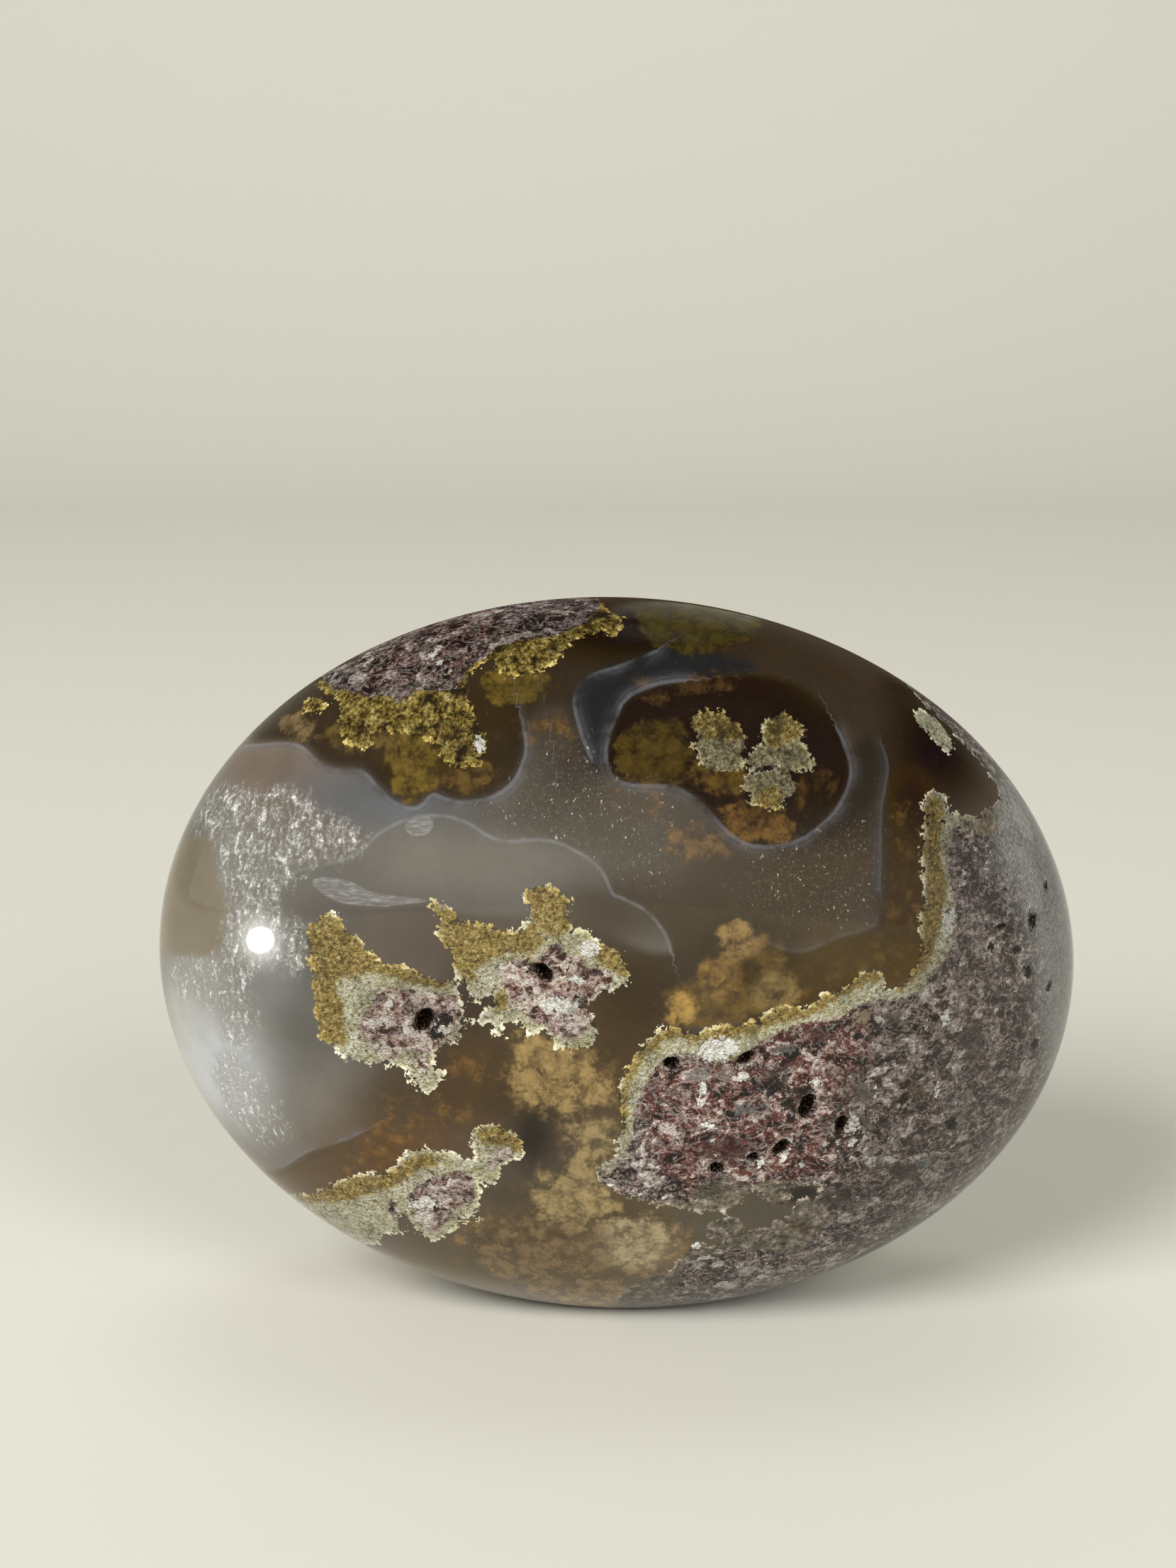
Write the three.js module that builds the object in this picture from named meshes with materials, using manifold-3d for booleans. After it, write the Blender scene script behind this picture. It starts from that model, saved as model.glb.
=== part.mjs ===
// A polished oval palm stone of moss agate, standing on its long edge on a small ground flat.
// Millimetres, +Z up. X runs along the stone, Y through its thickness with -Y the face that is
// looked at, and the origin is the middle of the base, under the middle of the stone.

import * as THREE from "three";
import { mergeVertices } from "three/addons/utils/BufferGeometryUtils.js";
import Module from "manifold-3d";

// Driving dimensions
const length = 60; // along the oval
const height = 47.6; // across the oval, before the flat is ground
const thickness = 25;
const fullness = 2.3; // 2 is a plain ellipsoid's cheeks, more is a fuller pebble
const rollDegrees = 3; // the right end of the oval sits lower
const flatDepth = 0.6; // what the resting flat takes off the edge
const surfaceDetail = 16; // splits of each icosahedron edge on the body
const pitDetail = 2; // the same on a pit
const agateColour = 0x6e6862;

const halfLength = length / 2;
const halfHeight = height / 2;
const halfThickness = thickness / 2;
const roll = THREE.MathUtils.degToRad(rollDegrees);
const rolledHalfHeight = Math.hypot(halfLength * Math.sin(roll), halfHeight * Math.cos(roll));
const centreHeight = rolledHalfHeight - flatDepth;

// Open vugs that the polish has cut through in the rough matrix and the moss islands.
// Each is where it opens on a face, its width, how much longer than wide it is, the turn of its
// long way, its depth under the polish, and which face it is on: -1 the front, 1 the back.
const pits = [
  { x: -12.0, z: 22.7, width: 1.1, stretch: 1.6, turn: 55, depth: 0.8, face: -1 },
  { x: -4.6, z: 25.9, width: 0.9, stretch: 1.7, turn: -40, depth: 0.9, face: -1 },
  { x: 3.2, z: 20.1, width: 0.9, stretch: 1.2, turn: 0, depth: 0.6, face: -1 },
  { x: 7.8, z: 20.4, width: 0.7, stretch: 1.8, turn: 30, depth: 0.5, face: -1 },
  { x: 11.7, z: 17.0, width: 1.0, stretch: 1.8, turn: 68, depth: 0.7, face: -1 },
  { x: 13.9, z: 15.6, width: 0.8, stretch: 1.6, turn: 75, depth: 0.6, face: -1 },
  { x: 10.1, z: 14.2, width: 0.8, stretch: 1.8, turn: 50, depth: 0.6, face: -1 },
  { x: 8.4, z: 13.6, width: 0.7, stretch: 1.2, turn: 0, depth: 0.5, face: -1 },
  { x: 6.1, z: 12.9, width: 0.8, stretch: 1.3, turn: 15, depth: 0.5, face: -1 },
  { x: 15.5, z: 27.0, width: 1.0, stretch: 1.5, turn: 20, depth: 0.7, face: 1 },
  { x: 20.0, z: 17.0, width: 0.9, stretch: 1.3, turn: -40, depth: 0.6, face: 1 },
  { x: 8.5, z: 14.0, width: 1.1, stretch: 1.6, turn: 65, depth: 0.7, face: 1 },
];

const wasm = await Module();
wasm.setup();

// A closed three.js geometry as a solid for cutting.
function solidOf(geometry) {
  const bare = geometry.clone();
  bare.deleteAttribute("normal");
  bare.deleteAttribute("uv");
  const merged = mergeVertices(bare, 1e-4);
  const vertProperties = merged.attributes.position.array;
  const triVerts = new Uint32Array(merged.index.array);
  return new wasm.Manifold(new wasm.Mesh({ numProp: 3, vertProperties, triVerts }));
}

// A solid as a three.js geometry with flat faces.
function geometryOf(solid) {
  const mesh = solid.getMesh();
  const geometry = new THREE.BufferGeometry();
  geometry.setAttribute("position", new THREE.BufferAttribute(mesh.vertProperties, 3));
  geometry.setIndex(new THREE.BufferAttribute(mesh.triVerts, 1));
  const faceted = geometry.toNonIndexed();
  faceted.computeVertexNormals();
  return faceted;
}

// How far the pebble's skin is from its centre along a direction in the oval's own axes:
// the oval's plane is an ellipse, and the cheeks follow a power a little over 2.
function skinDistance(direction) {
  const across = Math.hypot(direction.x / halfLength, direction.z / halfHeight);
  const through = Math.abs(direction.y) / halfThickness;
  return (across ** fullness + through ** fullness) ** (-1 / fullness);
}

// The polished body: a finely split icosahedron pushed out to the pebble's skin, rolled and
// raised, so that its lowest stretch lies below the floor by the depth of the flat.
function pebble() {
  const geometry = new THREE.IcosahedronGeometry(1, surfaceDetail);
  const position = geometry.attributes.position;
  const point = new THREE.Vector3();
  for (let i = 0; i < position.count; i++) {
    point.fromBufferAttribute(position, i).normalize();
    point.multiplyScalar(skinDistance(point));
    position.setXYZ(i, point.x, point.y, point.z);
  }
  geometry.rotateY(roll);
  geometry.translate(0, 0, centreHeight);
  return geometry;
}

// The skin's place on one face, over a point of the oval.
function onFace({ x, z, face }) {
  const unrolled = new THREE.Vector3(x, 0, z - centreHeight);
  unrolled.applyAxisAngle(new THREE.Vector3(0, 1, 0), -roll);
  const across = Math.hypot(unrolled.x / halfLength, unrolled.z / halfHeight);
  const y = face * halfThickness * (1 - across ** fullness) ** (1 / fullness);
  return new THREE.Vector3(x, y, z);
}

// The tool that hollows one pit: a stretched ball sunk to the pit's depth.
function pitTool(pit) {
  const ball = new THREE.IcosahedronGeometry(1, pitDetail);
  const place = onFace(pit);
  ball.scale((pit.width * pit.stretch) / 2, pit.depth, pit.width / 2);
  ball.rotateY(THREE.MathUtils.degToRad(-pit.turn));
  ball.translate(place.x, place.y, place.z);
  return solidOf(ball);
}

// The block that grinds the resting flat: everything under the floor.
function floorTool() {
  const block = new THREE.BoxGeometry(length, thickness, height);
  block.translate(0, 0, -height / 2);
  return solidOf(block);
}

function stoneGeometry() {
  let stone = solidOf(pebble()).subtract(floorTool());
  for (const pit of pits) {
    stone = stone.subtract(pitTool(pit));
  }
  return geometryOf(stone);
}

const polishedAgate = new THREE.MeshStandardMaterial({
  color: agateColour,
  roughness: 0.12,
  metalness: 0,
});

const palmStone = new THREE.Mesh(stoneGeometry(), polishedAgate);
palmStone.name = "palm_stone";

const part = new THREE.Group();
part.add(palmStone);

export default part;
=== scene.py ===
import math
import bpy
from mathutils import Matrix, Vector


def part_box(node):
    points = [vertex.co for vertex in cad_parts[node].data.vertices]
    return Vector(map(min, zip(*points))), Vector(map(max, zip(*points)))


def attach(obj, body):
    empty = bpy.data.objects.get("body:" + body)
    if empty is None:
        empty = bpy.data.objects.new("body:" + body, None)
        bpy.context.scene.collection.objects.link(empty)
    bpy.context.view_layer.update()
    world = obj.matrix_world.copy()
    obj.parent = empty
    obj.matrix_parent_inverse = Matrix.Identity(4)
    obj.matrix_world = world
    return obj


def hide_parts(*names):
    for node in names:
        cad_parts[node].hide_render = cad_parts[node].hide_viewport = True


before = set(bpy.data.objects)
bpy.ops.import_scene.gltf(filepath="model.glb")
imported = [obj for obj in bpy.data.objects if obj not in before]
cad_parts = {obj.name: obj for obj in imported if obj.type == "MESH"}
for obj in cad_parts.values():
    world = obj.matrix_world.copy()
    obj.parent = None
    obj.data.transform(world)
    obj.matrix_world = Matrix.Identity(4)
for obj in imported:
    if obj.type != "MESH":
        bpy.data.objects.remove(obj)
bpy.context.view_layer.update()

from types import SimpleNamespace
import bpy
import numpy as np
from mathutils import Vector

print("frame loaded")

# Lengths are in millimetres while a shape is worked out, and go into the meshes in metres.
# Places on the front face are read off the photograph, as (across, down) in its 1659 x 2212 pixels.
metre = 0.001
photoScale = 21.5   # photo pixels to a millimetre on the front face
tiny = 1e-9         # keeps a division from meeting 0
edgeReach = 5.0     # millimetres; an outline's depth isn't followed further
farOut = {"pit": -3.0, "spot": -2.0, "patch": -3.0}   # nowhere near, in a field that is 0 on the edge


def linear(red, green, blue):
    # a colour as a screen shows it, 0 to 255, turned into the light it stands for
    share = np.array([red, green, blue]) / 255.0
    light = np.where(share <= 0.04045, share / 12.92, ((share + 0.055) / 1.055) ** 2.4)
    return tuple(float(v) for v in light) + (1.0,)


photo = {
    "wide": 1659,
    "high": 2212,
    "cameraAt": (-1.883, -149.642, 67.286),
    "lookDown": 12.2,
    "lens": 54.1,
    "sensor": 36.0,
    "sees": (0.005, 20.0),            # from here to there, in metres
    "search": (115.0, 185.0, 1401),   # where a ray looks for the skin, and in how many steps
    "missed": 1.5,                    # how far past the rim a pixel outside the outline lands
    "highlight": (366, 1326),         # the pixel in the middle of the highlight
}


def makeCamera():
    # a 2x phone lens, level from side to side and looking down a little
    data = bpy.data.cameras.new("camera")
    data.lens = photo["lens"]
    data.sensor_width = photo["sensor"]
    data.clip_start, data.clip_end = photo["sees"]
    camera = bpy.data.objects.new("camera", data)
    camera.location = Vector(photo["cameraAt"]) * metre
    camera.rotation_euler = (math.radians(90.0 - photo["lookDown"]), 0.0, 0.0)
    bpy.context.scene.collection.objects.link(camera)
    bpy.context.scene.camera = camera


makeCamera()
print("camera placed")

stone = {
    "node": "palm_stone",
    "roll": 3.0,          # degrees, the right end lower
    "flat": 0.6,          # depth of the ground spot it stands on
    "fullness": 2.3,      # 2 is an ellipse across the thickness, more is fuller
    "steps": 216,         # grid steps along one side of each face
    "profileSteps": 3000,
    "backTurn": 80.0,     # degrees that the rock on the back is turned by in the middle
    "pullReach": 1.8,     # grid points this near a pit are drawn towards it
    "pullPower": 1.7,
    "pullInside": 0.9,    # inside this share of the oval a drawn point goes back onto the skin
}

lowest, highest = [np.array(corner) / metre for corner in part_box(stone["node"])]
roll = math.radians(stone["roll"])
fullness = stone["fullness"]
boxHalf = (highest - lowest) / 2.0
boxHalf[2] += stone["flat"] / 2.0
halfThick = boxHalf[1]
# the oval's own half axes, from the box that it fills when it is rolled
halfLong = math.sqrt(
    ((boxHalf[0] * math.cos(roll)) ** 2 - (boxHalf[2] * math.sin(roll)) ** 2) / math.cos(2 * roll)
)
halfHigh = math.sqrt(
    ((boxHalf[2] * math.cos(roll)) ** 2 - (boxHalf[0] * math.sin(roll)) ** 2) / math.cos(2 * roll)
)
centre = np.array([(lowest[0] + highest[0]) / 2, (lowest[1] + highest[1]) / 2, boxHalf[2] - stone["flat"]])


def toStone(points):
    # from the frame to the stone's own axes: along, through and up its face
    x, y, z = (np.asarray(points, float) - centre).T
    along = x * math.cos(roll) - z * math.sin(roll)
    up = x * math.sin(roll) + z * math.cos(roll)
    return along, y, up


def fromStone(along, through, up):
    # the way back from toStone
    x = along * math.cos(roll) + up * math.sin(roll)
    z = -along * math.sin(roll) + up * math.cos(roll)
    return np.stack([x, through, z], -1) + centre


def skinLevel(points):
    # under 1 inside the stone and 1 on its skin: (oval radius)^fullness + (thickness share)^fullness
    along, through, up = toStone(points)
    radius = np.hypot(along / halfLong, up / halfHigh)
    return radius**fullness + np.abs(through / halfThick) ** fullness


# The profile from the middle of a face over the rim: reach is the way along the skin as a share
# of the mean radius, so that a map drawn with it keeps its lengths on the face and past the rim.
profileTurn = np.linspace(0.0, math.pi / 2, stone["profileSteps"])
profileRadius = np.sin(profileTurn) ** (2 / fullness)
profileThrough = np.cos(profileTurn) ** (2 / fullness)
meanRadius = (halfLong + halfHigh) / 2
profileReach = np.concatenate([[0.0], np.cumsum(np.hypot(
    np.diff(profileRadius), np.diff(profileThrough) * halfThick / meanRadius
))])
rimReach = profileReach[-1]


def mapPlace(points):
    # where skin points lie on the front map: reach times the oval's half axes, about the face's middle
    along, through, up = toStone(points)
    turn = np.arctan2(
        np.hypot(along / halfLong, up / halfHigh) ** (fullness / 2),
        np.abs(through / halfThick) ** (fullness / 2),
    )
    reach = np.interp(turn, profileTurn, profileReach)
    reach = np.where(through > 0, 2 * rimReach - reach, reach)
    angle = np.arctan2(up / halfHigh, along / halfLong)
    return np.stack([halfLong * reach * np.cos(angle), halfHigh * reach * np.sin(angle)], -1)


def skinPlace(points):
    # where skin points are painted from: the front map, and on the back the same rock carried on over
    # the rim, turned by up to backTurn towards the middle of the back
    mirrored = points.copy()
    mirrored[:, 1] = centre[1] - np.abs(points[:, 1] - centre[1])
    places = mapPlace(mirrored) / (halfLong, halfHigh)
    inward = 1 - np.hypot(*places.T) / rimReach
    turn = np.where(points[:, 1] > centre[1], -math.radians(stone["backTurn"]) * inward, 0.0)
    across = places[:, 0] * np.cos(turn) - places[:, 1] * np.sin(turn)
    up = places[:, 0] * np.sin(turn) + places[:, 1] * np.cos(turn)
    return np.stack([across * halfLong, up * halfHigh], -1)


def photoRays(pixels):
    # the camera's place and the direction through each pixel
    pixels = np.asarray(pixels, float)
    focal = photo["lens"] / photo["sensor"] * photo["high"]
    down = math.radians(photo["lookDown"])
    forward = np.array([0.0, math.cos(down), -math.sin(down)])
    upward = np.array([0.0, math.sin(down), math.cos(down)])
    right = np.array([1.0, 0.0, 0.0])
    across = (pixels[:, 0] - photo["wide"] / 2) / focal
    raised = (photo["high"] / 2 - pixels[:, 1]) / focal
    rays = forward + across[:, None] * right + raised[:, None] * upward
    return np.array(photo["cameraAt"]), rays / np.linalg.norm(rays, axis=1)[:, None]


def photoHits(pixels):
    # where the ray of each pixel meets the skin, and how far outside the outline it passes if it misses
    start, rays = photoRays(pixels)
    far = np.linspace(*photo["search"])
    levels = skinLevel((start + far[None, :, None] * rays[:, None, :]).reshape(-1, 3)).reshape(len(rays), -1)
    inside = levels < 1.0
    missed = ~inside.any(1)
    step = np.where(missed, levels.argmin(1), inside.argmax(1))
    near = far[step]
    before = far[np.maximum(step - 1, 0)]
    rows = np.arange(len(rays))
    share = (levels[rows, np.maximum(step - 1, 0)] - 1) / np.maximum(
        levels[rows, np.maximum(step - 1, 0)] - levels[rows, step], tiny
    )
    distance = np.where(missed, near, before + (near - before) * np.clip(share, 0, 1))
    spots = start + distance[:, None] * rays
    outside = np.where(missed, levels[rows, step] ** (1 / fullness) - 1, 0.0)
    return spots, outside


def photoToMap(pixels):
    # photo pixels to places on the front map; a point outside the outline lands past the rim
    spots, outside = photoHits(pixels)
    places = mapPlace(spots)
    return places * (1.0 + photo["missed"] * outside[:, None])


def rounded(points, rounds=2):
    # cuts each corner of a closed outline a quarter of the way along its sides, and does it again
    points = np.asarray(points, float)
    for _ in range(rounds):
        after = np.roll(points, -1, axis=0)
        points = np.stack([0.75 * points + 0.25 * after, 0.25 * points + 0.75 * after], 1).reshape(-1, 2)
    return points


def depthInside(places, outline):
    # how far inside a closed outline each place is, negative outside, followed to edgeReach on either side
    result = np.full(len(places), -edgeReach)
    low, high = outline.min(0) - edgeReach, outline.max(0) + edgeReach
    near = np.nonzero(((places > low) & (places < high)).all(1))[0]
    spots = places[near]
    distance = np.full(len(near), edgeReach)
    crossings = np.zeros(len(near), bool)
    for first, second in zip(outline, np.roll(outline, -1, axis=0)):
        side = second - first
        share = np.clip((spots - first) @ side / max(side @ side, tiny), 0, 1)
        distance = np.minimum(distance, np.hypot(*(spots - first - share[:, None] * side).T))
        spans = (first[1] > spots[:, 1]) != (second[1] > spots[:, 1])
        at = first[0] + (spots[:, 1] - first[1]) / np.where(side[1] == 0, tiny, side[1]) * side[0]
        crossings ^= spans & (spots[:, 0] < at)
    result[near] = np.where(crossings, distance, -distance)
    return result


# Lines that more than one outline follows: one outside the stone's right rim, and the scallops under the
# hanging fringe, the halo's foot, the cloud's top and the vee's left arm.
beyondRim = [
    (1404, 1100), (1372, 1062), (1330, 1018), (1300, 990), (1268, 954), (1330, 940), (1440, 1020),
    (1540, 1180), (1590, 1400), (1540, 1600), (1400, 1760), (1240, 1870), (1080, 1900),
]
scallopLine = [
    (408, 1046), (430, 1052), (442, 1068), (456, 1081), (482, 1087), (510, 1085), (521, 1093), (536, 1113),
    (553, 1129), (574, 1138), (590, 1138), (600, 1128), (611, 1116), (626, 1125), (646, 1131), (680, 1129),
    (712, 1112), (730, 1090), (741, 1060), (738, 1030),
]
haloLine = [
    (880, 1105), (920, 1105), (958, 1110), (984, 1127), (1000, 1144), (1015, 1160), (1035, 1179),
    (1060, 1191), (1090, 1194), (1120, 1187), (1150, 1170), (1175, 1146), (1194, 1115), (1201, 1080),
]
cloudLine = [
    (388, 1262), (400, 1241), (416, 1230), (446, 1222), (486, 1213), (510, 1201), (522, 1188), (541, 1170),
    (568, 1157), (600, 1150), (634, 1152), (660, 1160), (686, 1178), (710, 1188), (751, 1184), (780, 1186),
    (803, 1195), (826, 1208), (844, 1222), (856, 1242), (863, 1262), (881, 1268), (901, 1278), (915, 1290),
    (931, 1306), (943, 1326), (948, 1346),
]
veeLine = [
    (508, 1600), (492, 1608), (468, 1614), (446, 1621), (426, 1630), (412, 1641), (389, 1651), (372, 1650),
]

# The crumbly parts that show sharply, each as an outline of photo pixels.
crumbly = {
    "leftIsland": [
        (455, 1290), (474, 1293), (484, 1310), (502, 1322), (516, 1346), (541, 1362), (576, 1367),
        (602, 1378), (622, 1386), (638, 1380), (646, 1396), (649, 1418), (656, 1450), (648, 1466),
        (624, 1478), (606, 1480), (612, 1492), (603, 1502), (628, 1512), (620, 1526), (604, 1544),
        (590, 1536), (580, 1520), (574, 1500), (530, 1501), (500, 1497), (480, 1488), (476, 1474),
        (452, 1466), (445, 1420), (440, 1352), (432, 1330), (437, 1308),
    ],
    "middleIsland": [
        (607, 1280), (622, 1273), (634, 1280), (640, 1294), (664, 1303), (700, 1311), (720, 1321),
        (736, 1315), (748, 1298), (750, 1280), (738, 1256), (764, 1249), (782, 1255), (804, 1270),
        (800, 1292), (807, 1318), (823, 1315), (840, 1326), (846, 1336), (863, 1334), (877, 1346),
        (884, 1366), (891, 1392), (862, 1393), (838, 1413), (821, 1420), (834, 1434), (843, 1455),
        (836, 1478), (805, 1479), (780, 1471), (771, 1450), (759, 1449), (750, 1464), (735, 1436),
        (722, 1444), (704, 1440), (710, 1466), (700, 1460), (692, 1436), (678, 1446), (676, 1436),
        (692, 1420), (699, 1408), (688, 1401), (670, 1416), (660, 1394), (646, 1374), (638, 1346),
        (626, 1330), (616, 1312), (626, 1300),
    ],
    "lowIsland": [
        (405, 1690), (421, 1684), (436, 1688), (452, 1682), (474, 1670), (505, 1660), (536, 1658),
        (551, 1654), (562, 1642), (574, 1627), (592, 1620), (618, 1626), (645, 1631), (664, 1638),
        (674, 1640), (675, 1624), (661, 1608), (668, 1595), (684, 1589), (702, 1588), (728, 1604),
        (740, 1620), (734, 1633), (706, 1640), (701, 1673), (684, 1670), (672, 1656), (675, 1690),
        (672, 1706), (677, 1722), (656, 1710), (642, 1731), (624, 1744), (610, 1753), (590, 1736),
        (574, 1719), (563, 1713), (562, 1724), (571, 1742), (536, 1736), (542, 1751), (500, 1755),
        (470, 1748), (440, 1722),
    ],
    "pairLeft": [
        (969, 1021), (976, 1011), (990, 1003), (1019, 1006), (1037, 1016), (1048, 1032), (1053, 1058),
        (1045, 1072), (1038, 1092), (1022, 1086), (1004, 1089), (992, 1079), (986, 1058), (977, 1050),
        (988, 1039), (978, 1030),
    ],
    "pairRight": [
        (1051, 1071), (1061, 1059), (1077, 1051), (1076, 1030), (1084, 1014), (1094, 1001), (1115, 1013),
        (1136, 1024), (1126, 1037), (1134, 1058), (1151, 1074), (1147, 1084), (1126, 1080), (1116, 1096),
        (1125, 1110), (1118, 1122), (1096, 1139), (1070, 1136), (1052, 1118), (1049, 1097), (1063, 1086),
    ],
    "fringeLeft": [(424, 999), (439, 983), (456, 989), (460, 999), (441, 1004)],
    "fringe": [
        (452, 952), (460, 976), (482, 984), (482, 1022), (492, 1048), (512, 1058), (530, 1046), (536, 1026),
        (552, 1034), (566, 1028), (580, 1040), (600, 1036), (616, 1044), (624, 1064), (636, 1078),
        (650, 1086), (668, 1080), (688, 1060), (684, 1034), (664, 1016), (656, 986), (662, 958), (668, 936),
        (696, 928), (706, 948), (748, 952), (786, 930), (800, 914), (806, 898), (842, 896), (848, 880),
        (864, 900), (876, 882), (872, 868), (848, 862), (836, 835), (700, 838), (560, 880),
    ],
    "chipRow": [
        (1288, 1010), (1299, 1002), (1316, 1010), (1332, 1028), (1346, 1050), (1341, 1062), (1324, 1054),
        (1310, 1034), (1296, 1023),
    ],
    "matrix": [
        (842, 1656), (848, 1641), (870, 1634), (876, 1616), (868, 1606), (882, 1588), (876, 1560),
        (873, 1536), (884, 1518), (897, 1488), (914, 1466), (938, 1452), (966, 1452), (984, 1461),
        (1008, 1451), (1046, 1448), (1076, 1438), (1092, 1423), (1124, 1419), (1133, 1429), (1156, 1409),
        (1192, 1394), (1214, 1375), (1238, 1370), (1249, 1384), (1246, 1396), (1264, 1397), (1284, 1381),
        (1298, 1356), (1301, 1290), (1306, 1232), (1299, 1190), (1308, 1164), (1301, 1130), (1316, 1112),
        (1332, 1122), (1340, 1148), (1362, 1156), (1382, 1158), (1388, 1138), (1412, 1134), *beyondRim,
        (900, 1900), (860, 1852), (876, 1824), (910, 1804), (946, 1796), (962, 1774), (982, 1753),
        (1002, 1763), (1020, 1752), (1044, 1744), (1062, 1734), (1090, 1738), (1096, 1722), (1118, 1712),
        (1124, 1694), (1156, 1688), (1160, 1674), (1118, 1670), (1110, 1702), (1084, 1697), (1064, 1673),
        (1044, 1692), (1018, 1708), (984, 1706), (950, 1701), (916, 1694), (884, 1691), (866, 1672),
        (850, 1672),
    ],
    "nodules": [(996, 1744), (1004, 1726), (1028, 1714), (1046, 1728), (1052, 1744), (1030, 1752)],
}

# Where the crumbs are ochre, and not cream.
ochreParts = {
    "leftIsland": [
        (445, 1284), (482, 1298), (520, 1342), (560, 1361), (642, 1384), (632, 1396), (590, 1391),
        (556, 1377), (520, 1371), (497, 1380), (477, 1378), (474, 1395), (484, 1415), (484, 1446),
        (494, 1476), (443, 1472), (432, 1380), (426, 1318),
    ],
    "middleArm": [
        (598, 1268), (640, 1284), (700, 1306), (725, 1318), (742, 1308), (752, 1298), (763, 1318),
        (768, 1334), (752, 1346), (730, 1347), (706, 1346), (690, 1354), (672, 1368), (664, 1392),
        (640, 1366), (618, 1312),
    ],
    "middleHorn": [
        (733, 1244), (782, 1249), (810, 1268), (808, 1290), (806, 1314), (772, 1328), (760, 1304),
        (752, 1300),
    ],
    "middleRight": [
        (836, 1338), (850, 1331), (870, 1336), (888, 1352), (888, 1382), (866, 1372), (846, 1360),
    ],
    "middleLow": [(700, 1395), (716, 1395), (718, 1420), (705, 1432), (696, 1415)],
    "lowIsland": [
        (405, 1688), (450, 1682), (475, 1670), (505, 1661), (545, 1656), (564, 1645), (584, 1630),
        (606, 1628), (640, 1634), (612, 1642), (588, 1652), (568, 1668), (545, 1677), (520, 1684),
        (490, 1693), (456, 1696),
    ],
    "lowHorn": [
        (668, 1598), (684, 1588), (704, 1586), (730, 1602), (742, 1620), (728, 1626), (706, 1616),
        (690, 1618), (676, 1610),
    ],
    "pairLeft": [
        (966, 1020), (990, 1000), (1020, 1003), (1046, 1018), (1052, 1044), (1030, 1046), (996, 1040),
    ],
    "pairRight": [(1078, 1030), (1094, 998), (1136, 1018), (1130, 1040), (1104, 1050), (1084, 1056)],
    "pairFoot": [(1064, 1122), (1080, 1108), (1100, 1112), (1108, 1126), (1096, 1142), (1070, 1140)],
    "fringeLow": [
        (476, 986), (520, 978), (562, 988), (600, 980), (660, 980), (660, 1020), (692, 1036), (692, 1064),
        (650, 1094), (618, 1070), (600, 1044), (566, 1040), (536, 1040), (510, 1066), (484, 1050),
    ],
    "fringeHigh": [(700, 912), (790, 904), (806, 910), (786, 934), (748, 952), (704, 946)],
    "fringeTip": [(812, 884), (846, 876), (880, 866), (880, 900), (850, 902), (820, 900)],
    "matrixLeft": [
        (868, 1600), (872, 1530), (896, 1484), (936, 1450), (968, 1450), (984, 1460), (1010, 1449),
        (1076, 1436), (1094, 1421), (1124, 1417), (1134, 1427), (1158, 1407), (1214, 1373), (1238, 1368),
        (1250, 1384), (1222, 1386), (1196, 1400), (1160, 1424), (1138, 1438), (1100, 1440), (1064, 1458),
        (1020, 1470), (984, 1470), (946, 1464), (922, 1480), (900, 1504), (886, 1536), (884, 1590),
    ],
    "matrixRight": [
        (1300, 1352), (1303, 1290), (1308, 1232), (1302, 1190), (1310, 1164), (1303, 1128), (1318, 1118),
        (1334, 1140), (1330, 1164), (1324, 1196), (1336, 1240), (1330, 1290), (1322, 1330), (1308, 1362),
        (1284, 1388), (1262, 1402), (1280, 1378),
    ],
    "matrixCorner": [(1384, 1176), (1386, 1142), (1410, 1136), (1412, 1160), (1400, 1182)],
    "matrixFoot": [(1100, 1734), (1116, 1722), (1134, 1726), (1160, 1726), (1164, 1738), (1128, 1740)],
}

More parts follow.
